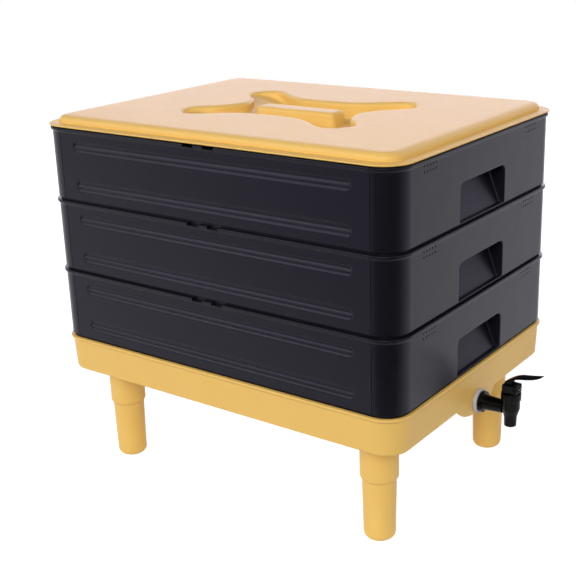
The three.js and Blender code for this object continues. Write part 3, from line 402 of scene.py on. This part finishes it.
def copied(piece, name, lift, half_turn):
    """A copy of a moulding, half a turn about the stack's middle where asked, and lifted by lift."""
    mesh = piece.data.copy()
    if half_turn:
        middle = Vector(STACK_MIDDLE)
        about = Matrix.Translation(middle) @ Matrix.Rotation(np.pi, 4, "Z") @ Matrix.Translation(-middle)
        mesh.transform(about)
    mesh.transform(Matrix.Translation((0, 0, lift * MM)))
    twin = bpy.data.objects.new(name, mesh)
    bpy.context.scene.collection.objects.link(twin)
    return twin


def dress_trays(pattern, front, back):
    """Places a moulding and its half-turned twin in all three trays, each on its own tray's body."""
    for tray, level in TRAYS.items():
        for side, half_turn in ((front, False), (back, True)):
            node = f"{tray}_tray_{side}"
            twin = copied(pattern, node + "_moulding", level * TRAY_PITCH, half_turn)
            fit(twin, tray + "_tray", node, black_polypropylene)
    bpy.data.objects.remove(pattern)


# The mould's ejector leaves a round dimple beside the right notch. Flipped coordinates turn its axis to Y.
panel = make_panel(BASE_RIM)
ejector_mark = turned_rings([[1, -HALF_DEPTH + 1], [1, -HALF_DEPTH + 1.8]], 16, (BASE_RIM - 1.7, 24), "x")
carve(panel, skin("dimple", np.flip(ejector_mark, -1)), "DIFFERENCE")
dress_trays(panel, "front_panel", "back_panel")


# ---- Tray ends ----
# Each end is one black moulding that wraps both corners, with a lifting pocket pressed into it, two rows of
# small round air vents near either corner, and keepers inside that hold the panels' tongues.
END_FACE = HALF_LENGTH - WALL_INSET
POCKET_SILL, POCKET_HALF, POCKET_HEIGHT, POCKET_CORNER, POCKET_FOOT = 1.5, 53, 43.8, 7, 0.5
SILL_DEPTH, TOP_DEPTH, POCKET_DRAFT, POCKET_WALL = 6, 23, 1.5, 2.2
POCKET_LIP, POCKET_FILLET = 1.6, 2.4
VENT_RADIUS, VENT_SPACING, VENT_NEAR, VENT_DROPS, VENT_COLUMNS = 1.1, 6.05, 107.3, (7.2, 13.3), 5
KEEPER_REACH = 7.6


def pocket_rings(sill, rows, steps=10):
    """Rings of the pocket: its outline grown by grow, and by down at the sill, at depth = even + slant × (sill
    depth to top depth, by height)."""
    rings = []
    for grow, down, even, slant in rows:
        low, high, side = sill - down, sill + POCKET_HEIGHT + grow, POCKET_HALF + grow
        corner, foot = max(POCKET_CORNER + grow, 0.5), max(POCKET_FOOT + grow, 0.3)
        outline = np.vstack([arc((y, z), radius, radius, start, start + 90, steps) for y, z, radius, start in (
            (side - foot, low + foot, foot, -90), (side - corner, high - corner, corner, 0),
            (-side + corner, high - corner, corner, 90), (-side + foot, low + foot, foot, 180))])
        rise = (outline[:, 1] - sill) / POCKET_HEIGHT
        depth = even + slant * (SILL_DEPTH + (TOP_DEPTH - SILL_DEPTH) * rise)
        rings.append(np.c_[END_FACE - depth, outline])
    return np.array(rings)


def make_end(rim):
    """The right end: the wall's section, with one straight face for its rows of wall points, carried round
    both corners, with its pocket, vents and keepers."""
    section = tray_section()
    section = np.vstack([section[:4], section[WALL_ROWS + 2:]])
    end = skin("end", plan_rings(section + [0, rim], corner_rays([0, 1])).transpose(1, 0, 2))
    sill = rim + SHELF + POCKET_SILL
    box = [(POCKET_WALL, POCKET_WALL, 1.3, 0), (POCKET_WALL - POCKET_DRAFT, 0.9, POCKET_WALL, 1)]
    carve(end, skin("pocket_box", pocket_rings(sill, box)), "UNION")
    lip = [(grow, grow / 2, depth, 0)
           for grow, depth in arc((POCKET_LIP, POCKET_LIP), -POCKET_LIP, -POCKET_LIP, 90, 0, 7)]
    fillet = arc((-POCKET_DRAFT - POCKET_FILLET, -POCKET_FILLET), POCKET_FILLET, POCKET_FILLET, 0, 90, 6)
    foot = [(grow, 0, depth, 1) for grow, depth in fillet]
    carve(end, skin("pocket", pocket_rings(sill, [(1.8, 1, -2, 0), *lip, *foot])), "DIFFERENCE")
    vent = [[VENT_RADIUS, END_FACE - 4.6], [VENT_RADIUS, END_FACE + 2]]
    for side in (-1, 1):
        for drop in VENT_DROPS:
            for column in range(VENT_COLUMNS):
                place = (side * (VENT_NEAR + column * VENT_SPACING), rim - drop)
                carve(end, skin("vent", turned_rings(vent, 12, place, "x")), "DIFFERENCE")
    tongue_back = HALF_DEPTH - INNER_INSET - TONGUE_FACE
    for side in (-1, 1):
        face, plate, root = (side * (tongue_back - gap) for gap in (0.3, 2.3, -2.55))
        for name, near, edge in (("keeper", 0.3, face), ("keeper_web", KEEPER_REACH - 2, root)):
            carve(end, brick(name, (SEAM + near, min(edge, plate), rim - TONGUE_FOOT),
                             (SEAM + KEEPER_REACH, max(edge, plate), rim - TONGUE_TOP)), "UNION")
    return end


dress_trays(make_end(BASE_RIM), "right_end", "left_end")


# ---- Tray floors ----
# A slotted plate in each tray, moulded in the same black polypropylene. The CAD's own plates are the right
# shape and lie hidden under the bedding, so they keep their meshes and take the black finish.
def refinish(name, finish):
    """Gives a CAD node's own mesh a finish."""
    nodes[name].data.materials.clear()
    nodes[name].data.materials.append(finish)


for tray in TRAYS:
    refinish(tray + "_tray_floor", black_polypropylene)


# ---- Lid ----
# One yellow polypropylene moulding: a thin flange, soft shoulders, and a sunk grip whose four lobes ramp up
# to the top. A hollow bar bridges the recess for the hand, and a rib underneath centres the lid in the rim.
LID_UNDER, LID_TOP, LID_SHELL = 445, 457.2, 2.5
FLANGE_WIDTH, FLANGE_TOP, SHOULDER_FOOT, SHOULDER_WIDTH = 12.4, 448.1, 448.5, 15.6
RIB_OUTER, RIB_INNER, RIB_DEPTH, RIB_EASE, RIB_GAP_HALF = 6.3, 8.9, 5, 0.5, 26
RECESS_DEPTH, RECESS_FLAT, RECESS_KNEE, RECESS_RAMP_END, RECESS_TIP = 20, 66, 6, 130, 2
RECESS_LIP, RECESS_LIP_DROP, RECESS_FILLET = 7, 4.4, 5
RECESS_HALF_LENGTH, RECESS_HALF_WIDTH, RECESS_WAIST = 122, 90, 0.578
GRIP_LENGTH, GRIP_WIDTH, GRIP_CORNER, GRIP_ROUND, GRIP_DRAFT, GRIP_DROP = 58, 14.5, 7, 5, 1.5, 0.4
GRIP_FOOT_FILLET, GRIP_WALL = 3, 16
RECESS_QUARTER = np.array([
    [0.672, 0], [0.713, 0.189], [0.803, 0.4], [0.934, 0.556], [1, 0.711],
    [0.959, 0.889], [0.836, 0.989], [0.705, 0.933], [0.508, 0.744], [0.311, 0.611],
]) * [RECESS_HALF_LENGTH, RECESS_HALF_WIDTH]


def recess_outline(count=600):
    """The recess's outline: a closed centripetal Catmull-Rom curve through a quarter's points and their mirror
    images, sampled at even lengths, with the unit normal that points out of it."""
    waist = np.array([[0, RECESS_WAIST * RECESS_HALF_WIDTH]])
    back = RECESS_QUARTER[:0:-1]
    loop = np.vstack([RECESS_QUARTER, waist, back * [-1, 1], RECESS_QUARTER * [-1, -1], -waist,
                      back * [1, -1]])
    p0, p1, p2, p3 = (np.roll(loop, shift, 0)[:, None] for shift in (1, 0, -1, -2))
    d0, d1, d2 = (np.sqrt(np.linalg.norm(b - a, axis=2, keepdims=True))
                  for a, b in ((p0, p1), (p1, p2), (p2, p3)))
    start = ((p1 - p0) / d0 - (p2 - p0) / (d0 + d1) + (p2 - p1) / d1) * d1
    end = ((p2 - p1) / d1 - (p3 - p1) / (d1 + d2) + (p3 - p2) / d2) * d1
    t = np.linspace(0, 1, 40, endpoint=False)[None, :, None]
    curve = (p1 * (2 * t ** 3 - 3 * t ** 2 + 1) + start * (t ** 3 - 2 * t ** 2 + t)
             + p2 * (3 * t ** 2 - 2 * t ** 3) + end * (t ** 3 - t ** 2)).reshape(-1, 2)
    closed = np.vstack([curve, curve[:1]])
    length = np.r_[0, np.cumsum(np.linalg.norm(np.diff(closed, axis=0), axis=1))]
    at = np.arange(count) / count * length[-1]
    ring = np.stack([np.interp(at, length, closed[:, k]) for k in (0, 1)], 1)
    along = np.roll(ring, -1, 0) - np.roll(ring, 1, 0)
    along /= np.linalg.norm(along, axis=1, keepdims=True)
    return ring, np.stack([along[:, 1], -along[:, 0]], 1)


def rounded_reach(angle, half_x, half_y, radius):
    """Where rays from the middle at these angles leave a rounded rectangle: the flat side that they meet, or
    the corner's circle where they pass beyond both flats."""
    c, s = np.abs(np.cos(angle)), np.abs(np.sin(angle))
    with np.errstate(divide="ignore"):
        side_x, side_y = half_x / c, half_y / s
    cx, cy = half_x - radius, half_y - radius
    along = c * cx + s * cy
    corner = along + np.sqrt(np.maximum(along ** 2 - cx ** 2 - cy ** 2 + radius ** 2, 0))
    reach = np.where(side_x * s <= cy, side_x, np.where(side_y * c <= cx, side_y, corner))
    return np.stack([reach * np.cos(angle), reach * np.sin(angle)], 1)


def recess_floor(x):
    """Depth of the recess's floor at x: full between ±66, then an even ramp up to the tip's at ±130, its knee
    rounded off."""
    run = np.abs(x) - RECESS_FLAT
    soft = 0.5 * (run + np.sqrt(run ** 2 + RECESS_KNEE ** 2))
    return RECESS_DEPTH - (RECESS_DEPTH - RECESS_TIP) * np.clip(soft / (RECESS_RAMP_END - RECESS_FLAT), 0, 1)


def make_lid():
    """One grid of rings from the middle of the bar's top, out over the recess and shoulder, round the flange,
    and back underneath. Rings share one angle per point, and the recess's edge follows its own normals."""
    outline, normal = recess_outline()
    angle = np.arctan2(outline[:, 1], outline[:, 0])
    count = len(outline)

    def level(ring, z):
        return np.c_[ring, np.broadcast_to(z, count)]

    def bar(inset):
        return rounded_reach(angle, GRIP_LENGTH - inset, GRIP_WIDTH - inset, max(GRIP_CORNER - inset, 1.2))

    def plan(inset):
        return rounded_reach(angle, HALF_LENGTH - inset, HALF_DEPTH - inset, CORNER_RADIUS - inset)

    def pan(shell, bar_rings):
        """From the bar's foot over the recess floor, its fillet, wall and lip, to the flat top, or a shell
        below it."""
        edge = outline + normal * (shell - RECESS_FILLET)
        depth = recess_floor(edge[:, 0])
        share = np.linspace(0, 1, 26)[1:-1, None, None]
        foot = bar_rings[-1][:, :2]
        between = foot * (1 - share) + edge * share
        floor = [level(ring, LID_TOP - shell - recess_floor(ring[:, 0])) for ring in between]
        squash = np.minimum(1, depth / (RECESS_FILLET + RECESS_LIP_DROP))
        rings = []
        for across, up in arc((-RECESS_FILLET, RECESS_FILLET), RECESS_FILLET, -RECESS_FILLET, 90, 0, 7):
            rings.append(level(outline + normal * (shell + across), LID_TOP - shell - depth + up * squash))
        if shell:
            return bar_rings + floor + rings + [level(outline + normal * shell, LID_TOP - LID_SHELL)]
        for across, up in arc((RECESS_LIP, -RECESS_LIP_DROP), -RECESS_LIP, RECESS_LIP_DROP, 0, 90, 7):
            rings.append(level(outline + normal * across, LID_TOP + up * squash))
        return bar_rings + floor + rings

    top_z, foot_z = LID_TOP - GRIP_DROP, LID_TOP - RECESS_DEPTH
    bar_top = [level(bar(inset), top_z) for inset in (13.4, GRIP_ROUND + 3)]
    bar_top += [level(bar(GRIP_ROUND - across), top_z - GRIP_ROUND + up)
                for across, up in arc((0, 0), GRIP_ROUND, GRIP_ROUND, 90, 0, 8)]
    for across, up in arc((GRIP_FOOT_FILLET, GRIP_FOOT_FILLET), -GRIP_FOOT_FILLET, -GRIP_FOOT_FILLET, 0, 90, 5):
        bar_top.append(level(bar(-GRIP_DRAFT * (1 - up / GRIP_WALL) - across), foot_z + up))
    upper = pan(0, bar_top)
    inner_bar = [level(bar(12.6), top_z - LID_SHELL), level(bar(LID_SHELL), top_z - LID_SHELL),
                 level(bar(LID_SHELL), foot_z - LID_SHELL)]
    under = pan(LID_SHELL, inner_bar)
    turn = np.radians(np.linspace(90, 0, 28))
    shoulder = np.stack([FLANGE_WIDTH + SHOULDER_WIDTH * (1 - np.cos(turn) ** (2 / 3)),
                         SHOULDER_FOOT + (LID_TOP - SHOULDER_FOOT) * np.sin(turn) ** (2 / 3)], 1)
    rib = [[RIB_OUTER, LID_UNDER], [RIB_OUTER, LID_UNDER - RIB_DEPTH + RIB_EASE],
           [RIB_OUTER + RIB_EASE, LID_UNDER - RIB_DEPTH], [RIB_INNER - RIB_EASE, LID_UNDER - RIB_DEPTH],
           [RIB_INNER, LID_UNDER - RIB_DEPTH + RIB_EASE], [RIB_INNER, LID_UNDER]]
    flange = np.vstack([
        [[FLANGE_WIDTH - 0.8, SHOULDER_FOOT - 0.12]], arc((1.2, FLANGE_TOP - 0.9), -1.2, 0.9, 90, 0, 5),
        arc((0.6, LID_UNDER + 1.9), -0.6, -0.6, 0, 90, 3), [[WALL_INSET, LID_UNDER]],
        rib, [[FLANGE_WIDTH + LID_SHELL, LID_UNDER]],
    ])
    hollow = shoulder[::-1] + [LID_SHELL, -LID_SHELL]
    outside = [level(plan(inset), z) for inset, z in np.vstack([shoulder, flange, hollow])]
    return skin("lid_moulding", np.array(upper + outside + under[::-1]))


# The rib stops short of the drain notches in the panels, so that nothing yellow shows through them.
lid = make_lid()
for near in (-HALF_DEPTH + 5, HALF_DEPTH - 10):
    carve(lid, brick("rib_gap", (-RIB_GAP_HALF, near, LID_UNDER - 6),
                     (RIB_GAP_HALF, near + 5, LID_UNDER - 0.3)), "DIFFERENCE")
fit(lid, "lid", "lid", yellow_polypropylene, 40)


# ---- Tap body, washers and nut ----
# A push tap in gloss black ABS. Its shank passes through the base wall between two grey washers and is
# clamped by a nut; outside stand a flange, a tapered barrel, and the valve with its collar and spout.
VALVE, COLLAR_TOP = 290.8, 150.5
FLANGE_X = PAD_FACE + 7.2

# Polished mould, so nearly mirror smooth: soft-edged highlights on deep black, with faint handling haze.
# Its index is matched well under the real 1.54, so that the white floor it mirrors leaves it black.
gloss_abs = moulded_plastic("gloss_moulded_black_abs", "#070708", "#050506", 1.2, (0.1, 0.2), 2.5, 0.006,
                            0.12)
# Soft rubber from a matt mould: pale grey, no clear reflections, slightly cloudy where it has been squeezed.
grey_rubber = moulded_plastic("matt_moulded_grey_rubber", "#BDB9BC", "#A9A5A9", 1.5, (0.55, 0.7), 0.8, 0.03,
                              0.1)

barrel_profile = np.vstack([
    [[7.4, 232.6]], [[8, 233.2]], [[8, FLANGE_X - 2.2]], arc((12.1, FLANGE_X - 1.6), 0.6, -0.6, 90, 0, 3),
    arc((12.1, FLANGE_X + 1.9), 0.6, 0.6, 0, 90, 3), arc((10.3, FLANGE_X + 3.3), -0.8, -0.8, 90, 0, 4),
    [[9.3, FLANGE_X + 6]], [[9.15, FLANGE_X + 6.4]], [[8.0, VALVE - 12]], [[7.7, VALVE - 9]],
])
valve_profile = np.vstack([
    [[6.6, 108.7]], [[7.2, 109.3]], [[7.25, 112]], [[7.5, 118.5]], [[7.9, 121.2]], [[8.8, 124.5]],
    [[10.0, 128.2]], [[10.55, 129.8]], [[10.7, 131.5]], [[10.7, COLLAR_TOP - 9.6]], [[10.9, COLLAR_TOP - 9]],
    arc((10.9, COLLAR_TOP - 8.1), 0.9, -0.9, 75, 0, 4), arc((10.9, COLLAR_TOP - 0.9), 0.9, 0.9, 0, 90, 4),
])
spout_bore = [[5.6, 106], [5.6, 126], [9, 126], [9, 153]]
tap_body = skin("tap_body_moulding", turned_rings(barrel_profile, 48, tap_axis, "x"))
carve(tap_body, skin("valve", turned_rings(valve_profile, 48, (VALVE, 0))), "UNION")
carve(tap_body, skin("waterway", turned_rings([[3.5, 230], [3.5, VALVE]], 32, tap_axis, "x")), "DIFFERENCE")
carve(tap_body, skin("spout_bore", turned_rings(spout_bore, 48, (VALVE, 0))), "DIFFERENCE")
fit(tap_body, "stand", "tap_body", gloss_abs)

washer_profile = np.vstack([[[8.3, PAD_FACE + 0.3]], arc((13.9, PAD_FACE + 1), 0.7, -0.7, 90, 0, 4),
                            arc((13.4, PAD_FACE + 3.5), 1.2, 1.2, 0, 90, 5), [[8.3, PAD_FACE + 4.7]]])
washer = skin("tap_outer_washer_ring", turned_rings(washer_profile, 64, tap_axis, "x"), holed=True)
fit(washer, "stand", "tap_outer_washer", grey_rubber)
refinish("tap_inner_washer", grey_rubber)
refinish("tap_nut", gloss_abs)


# ---- Bonnet, lever and valve parts ----
# The bonnet screws down on the valve and carries the hinge pin. The lever's prongs lift the stem and its
# rubber cup off the seat against a wire spring when a thumb presses the arm down.
BONNET = 150.8
BONNET_FRONT, BONNET_BACK, BONNET_HALF_WIDTH = 9.8, -8.8, 7.8
PIN = (VALVE + 6.9, BONNET + 6.2)


def bonnet_rings(radius=1.4, steps=6):
    """A rounded block, plan corners of the given radius, with its top edge eased in three rings."""
    front, back, side = BONNET_FRONT - radius, BONNET_BACK + radius, BONNET_HALF_WIDTH - radius
    outline = np.vstack([arc(corner, radius, radius, start, start + 90, steps) for corner, start in (
        ((front, side), 0), ((back, side), 90), ((back, -side), 180), ((front, -side), 270))])
    middle = np.array([(BONNET_FRONT + BONNET_BACK) / 2, 0])
    rows = []
    for z, inset in ((0, 0.4), (0.4, 0), (9.3, 0), (9.8, 0.15), (10.1, 0.45), (10.2, 0.9)):
        shrink = 1 - inset / 7.6
        rows.append(np.c_[(outline - middle) * shrink + middle + [VALVE, 0], np.full(len(outline), BONNET + z)])
    return np.array(rows)


plug = [[8.2, 144.5], [8.7, 145], [8.7, BONNET + 0.3]]
stem_bore = [[2.3, 142], [2.3, BONNET + 10.8]]
pin_hole = turned_rings([[1.9, -12], [1.9, 12]], 24, (PIN[0], PIN[1]), "x")[:, :, [1, 0, 2]]
bonnet = skin("tap_bonnet_moulding", bonnet_rings())
carve(bonnet, skin("plug", turned_rings(plug, 48, (VALVE, 0))), "UNION")
carve(bonnet, brick("lever_slot", (VALVE - 5.4, -5, BONNET + 1.8), (VALVE + 15, 5, BONNET + 13)), "DIFFERENCE")
carve(bonnet, skin("stem_bore", turned_rings(stem_bore, 32, (VALVE, 0))), "DIFFERENCE")
carve(bonnet, skin("pin_hole", pin_hole), "DIFFERENCE")
fit(bonnet, "stand", "tap_bonnet", gloss_abs)

# Fine drawn wire: bright steel, with scratches as fine as 0.4 mm.
spring_steel = bpy.data.materials.new("drawn_spring_steel")
spring_steel.use_nodes = True
steel_tree = spring_steel.node_tree
steel = steel_tree.nodes["Principled BSDF"]
steel.inputs["Base Color"].default_value = linear("#C4C6C8")
steel.inputs["Metallic"].default_value = 1
steel_place = add_node(steel_tree, "ShaderNodeTexCoord").outputs["Object"]
steel_scratch = add_node(steel_tree, "ShaderNodeTexNoise", {"Scale": 1 / (0.4 * MM), "Detail": 4},
                         {"Vector": steel_place})
steel_rough = add_node(steel_tree, "ShaderNodeMapRange", {"To Min": 0.22, "To Max": 0.42},
                       {"Value": steel_scratch.outputs["Fac"]})
steel_tree.links.new(steel_rough.outputs["Result"], steel.inputs["Roughness"])
# Silicone rubber from a matt mould: near black, with no clear reflections.
silicone = moulded_plastic("matt_moulded_silicone_rubber", "#2A2A2E", "#222226", 1.43, (0.55, 0.7), 0.7, 0.02,
                           0.05)
refinish("tap_pin", gloss_abs)
refinish("tap_stem", gloss_abs)
refinish("tap_seat_cup", silicone)

# The return spring: three turns of wire. In the tap, its foot goes up with the seat cup and its head stays
# under the bonnet, so that it is squeezed when the cup rises; here it is one fixed coil, built at rest.
SPRING_RADIUS, WIRE_RADIUS, SPRING_TURNS, STEPS_PER_TURN = 4.6, 0.5, 3, 40
spring_low, spring_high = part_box("tap_spring")
climb = np.linspace(0, 1, SPRING_TURNS * STEPS_PER_TURN + 1)[:, None]
wire = np.arange(12) * np.pi / 6
reach = SPRING_RADIUS + WIRE_RADIUS * np.cos(wire)[None]
wind = climb * SPRING_TURNS * 2 * np.pi
height = (spring_low.z / MM + WIRE_RADIUS) * (1 - climb) + (spring_high.z / MM - WIRE_RADIUS) * climb
spring = skin("tap_return_spring", np.dstack([VALVE + reach * np.cos(wind), reach * np.sin(wind),
                                              height + WIRE_RADIUS * np.sin(wire)[None]]))
spring.data.materials.append(spring_steel)
spring.data.polygons.foreach_set("use_smooth", np.ones(len(spring.data.polygons), bool))
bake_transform(spring)
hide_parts("tap_spring")


def lever_arm(sides=28):
    """The thumb arm: flattened rings square to a curved line in the plane of the tap, |across|^3 + |up|^3 = 1
    scaled by each station's half width and half thickness."""
    stations = np.array([  # along X from the valve, height over the bonnet's foot, half width, half thickness
        [-6.6, 11.7, 4.2, 0.9], [-2.9, 14.1, 5.0, 1.35], [2.3, 17.4, 6.0, 1.45], [7.6, 19.7, 6.8, 1.4],
        [12, 21, 7, 1.35], [19.2, 22, 7, 1.3], [27.9, 23.7, 6.3, 1.25], [34.9, 25.9, 4.4, 1.0],
        [38.6, 28, 1.3, 0.5]])
    knots = np.arange(len(stations))
    fine = np.linspace(0, len(stations) - 1, 65)
    smooth = np.stack([np.interp(fine, knots, column) for column in stations.T], 1)
    for _ in range(6):
        smooth[1:-1] = (smooth[:-2] + 2 * smooth[1:-1] + smooth[2:]) / 4
    along = np.gradient(smooth[:, :2], axis=0)
    along /= np.linalg.norm(along, axis=1, keepdims=True)
    turn = np.arange(sides) * 2 * np.pi / sides
    across = np.sign(np.cos(turn)) * np.abs(np.cos(turn)) ** (2 / 3)
    lift = np.sign(np.sin(turn)) * np.abs(np.sin(turn)) ** (2 / 3)
    up = smooth[:, 3:4] * lift
    return np.dstack([VALVE + smooth[:, :1] - along[:, 1:] * up, smooth[:, 2:3] * across,
                      BONNET + smooth[:, 1:2] + along[:, :1] * up])


# Under the arm, a web goes down through the bonnet's slot to the hinge lug and the two prongs. A slot takes
# the stem, and the room over it lets the stem's head swing past.
lug = arc((6.9, 6.2), 4, 4, -90, 0, 8)
web = np.vstack([[[-0.9, 6.2], [-0.9, 3.6]], lug,
                 [[8.2, 9.9], [2.6, 10.2], [1.9, 11.5], [2.3, 16.9], [-2.9, 13.6], [-6.4, 11.2], [-3, 9.4],
                  [3.8, 9], [3.8, 6.2]]]) + [VALVE, BONNET]
web_sides = np.array([np.c_[web[:, 0], np.full(len(web), y), web[:, 1]] for y in (-4.6, 4.6)])
stem_slot = ((VALVE - 3, -2.3, PIN[1] - 4.6), (VALVE + 3.4, 2.3, PIN[1] + 1))
head_room = ((VALVE - 4.6, -3.8, BONNET + 6.6), (VALVE + 4.3, 3.8, BONNET + 11.4))
lever = carve(skin("tap_lever_moulding", lever_arm()), skin("web", web_sides), "UNION")
carve(lever, brick("stem_slot", *stem_slot), "DIFFERENCE")
carve(lever, brick("head_room", *head_room), "DIFFERENCE")
carve(lever, skin("lever_hole", pin_hole), "DIFFERENCE")
fit(lever, "lever", "tap_lever", gloss_abs, 40)


# ---- Studio ----
# A pale floor, a white world that the camera and the reflections see, soft lamps round the object, and a
# camera at the photograph's viewing angle. The front stays dark in reflections, as behind a real camera.
COOL_LIGHT, WHITE_LIGHT = "#EEE6FF", "#FFFFFF"


def area_lamp(name, place, target, size, watts, colour):
    """A rectangular soft lamp at place that faces target, in metres."""
    lamp = bpy.data.lights.new(name, "AREA")
    lamp.shape, lamp.size, lamp.size_y, lamp.energy = "RECTANGLE", size[0], size[1], watts
    lamp.color = linear(colour)[:3]
    stand = bpy.data.objects.new(name, lamp)
    stand.location = place
    stand.rotation_euler = (Vector(target) - Vector(place)).to_track_quat("-Z", "Y").to_euler()
    stand.visible_camera = False
    bpy.context.scene.collection.objects.link(stand)


area_lamp("key_left", (-2.8, -3.8, 2.6), (0, 0, 0.25), (3, 2.4), 71, WHITE_LIGHT)
area_lamp("front_right", (1.6, -4.4, 2.4), (0, 0, 0.25), (2.4, 2), 134, WHITE_LIGHT)
area_lamp("right_front", (3.4, -1.4, 2.2), (0.2, 0, 0.25), (2, 2), 34, WHITE_LIGHT)
area_lamp("glint", (1.3, -2.1, 1.9), (0, 0, 0.25), (0.3, 0.3), 5, WHITE_LIGHT)
area_lamp("back_box", (-1.2, 3.4, 1.2), (0, 0, 0.4), (5, 2), 74, COOL_LIGHT)


def background_rays(tree):
    """Is Camera Ray, and the larger of Is Glossy Ray and Is Transmission Ray, as two outputs."""
    rays = add_node(tree, "ShaderNodeLightPath").outputs
    glossy, through = rays["Is Glossy Ray"], rays["Is Transmission Ray"]
    mirrored = add_node(tree, "ShaderNodeMath", links={0: glossy, 1: through}, operation="MAXIMUM")
    return rays["Is Camera Ray"], mirrored.outputs["Value"]


# What lights the object: a dome that is bright near the floor and dim above, darker towards the camera.
world = bpy.data.worlds.new("studio")
bpy.context.scene.world = world
world.use_nodes = True
sky = world.node_tree
background = sky.nodes["Background"]
seen, mirrored = background_rays(sky)
cool = add_node(sky, "ShaderNodeMix", {6: linear("#F3EEFF"), 7: (1, 1, 1, 1)}, {0: seen}, data_type="RGBA")
sky.links.new(cool.outputs[2], background.inputs["Color"])
way = add_node(sky, "ShaderNodeTexCoord").outputs["Generated"]
height = add_node(sky, "ShaderNodeSeparateXYZ", links={"Vector": way}).outputs["Z"]
dome = add_node(sky, "ShaderNodeMapRange", {"From Min": 0.15, "From Max": 0.6, "To Min": 0.87, "To Max": 0.18},
                {"Value": height}, interpolation_type="SMOOTHSTEP")
front = add_node(sky, "ShaderNodeVectorMath", {1: (0.58, -0.815, 0)}, {0: way}, operation="DOT_PRODUCT")
dark_front = add_node(sky, "ShaderNodeMapRange", {"From Min": 0.15, "From Max": 0.75, "To Min": 1,
                                                  "To Max": 0.05},
                      {"Value": front.outputs["Value"]}, interpolation_type="SMOOTHSTEP").outputs["Result"]
room = add_node(sky, "ShaderNodeMath", links={0: dome.outputs["Result"], 1: dark_front}, operation="MULTIPLY")
soft_mirror = add_node(sky, "ShaderNodeMath", links={0: mirrored, 1: dark_front}, operation="MULTIPLY")
white_way = add_node(sky, "ShaderNodeMath", links={0: seen, 1: soft_mirror.outputs["Value"]},
                     operation="MAXIMUM")
glow = add_node(sky, "ShaderNodeMix", {3: 1.0}, {0: white_way.outputs["Value"], 2: room.outputs["Value"]})
sky.links.new(glow.outputs[0], background.inputs["Strength"])

# The floor's own light is only for the camera, reflections and glass, so that the object's shadow stays.
FLOOR_LIFT = 0.7
card_ring = np.array([[-3370, -3040], [3970, 2180], [2230, 4630], [-5110, -595]])
floor = skin("floor", np.stack([np.c_[card_ring, np.full(4, z)] for z in (-30.0, 0.0)]))
white_card = bpy.data.materials.new("white_studio_card")
white_card.use_nodes = True
card = white_card.node_tree
card_shader = card.nodes["Principled BSDF"]
card_shader.inputs["Base Color"].default_value = linear("#DCDCDC")
card_shader.inputs["Roughness"].default_value = 0.9
card_shader.inputs["Emission Color"].default_value = (1, 1, 1, 1)
direct, bounced = background_rays(card)
lit = add_node(card, "ShaderNodeMath", links={0: direct, 1: bounced}, operation="MAXIMUM")
lift = add_node(card, "ShaderNodeMath", {1: FLOOR_LIFT}, {0: lit.outputs["Value"]}, operation="MULTIPLY")
card.links.new(lift.outputs["Value"], card_shader.inputs["Emission Strength"])
floor.data.materials.append(white_card)

# The camera's turn, place and focal length, in degrees, millimetres and pixels of a square frame.
FRAME, FOCAL, OPTICAL_CENTRE, SENSOR = 576, 1090.6, (318.6, 279.8), 36
AIM, DISTANCE, STEP_RIGHT, STEP_UP = np.array([0, 0, 230]), 1393.48, 17.774, 6.61
azimuth, elevation, roll = np.radians([35.44, 18.58, -1.469])
away = np.array([np.sin(azimuth) * np.cos(elevation), -np.cos(azimuth) * np.cos(elevation), np.sin(elevation)])
level_right = np.cross([0, 0, 1], away)
level_right /= np.linalg.norm(level_right)
level_up = np.cross(away, level_right)
right = np.cos(roll) * level_right + np.sin(roll) * level_up
up = -np.sin(roll) * level_right + np.cos(roll) * level_up
spot = (AIM + DISTANCE * away + STEP_RIGHT * right + STEP_UP * up) * MM + STACK_MIDDLE
lens = bpy.data.cameras.new("camera")
lens.sensor_width, lens.lens = SENSOR, FOCAL * SENSOR / FRAME
lens.shift_x, lens.shift_y = (FRAME / 2 - OPTICAL_CENTRE[0]) / FRAME, (OPTICAL_CENTRE[1] - FRAME / 2) / FRAME
camera = bpy.data.objects.new("camera", lens)
rows = [[*row, place] for row, place in zip(np.stack([right, up, away], 1).tolist(), spot)]
camera.matrix_world = Matrix(rows + [[0, 0, 0, 1]])
bpy.context.scene.collection.objects.link(camera)
bpy.context.scene.camera = camera
bpy.context.scene.view_settings.view_transform = "Standard"
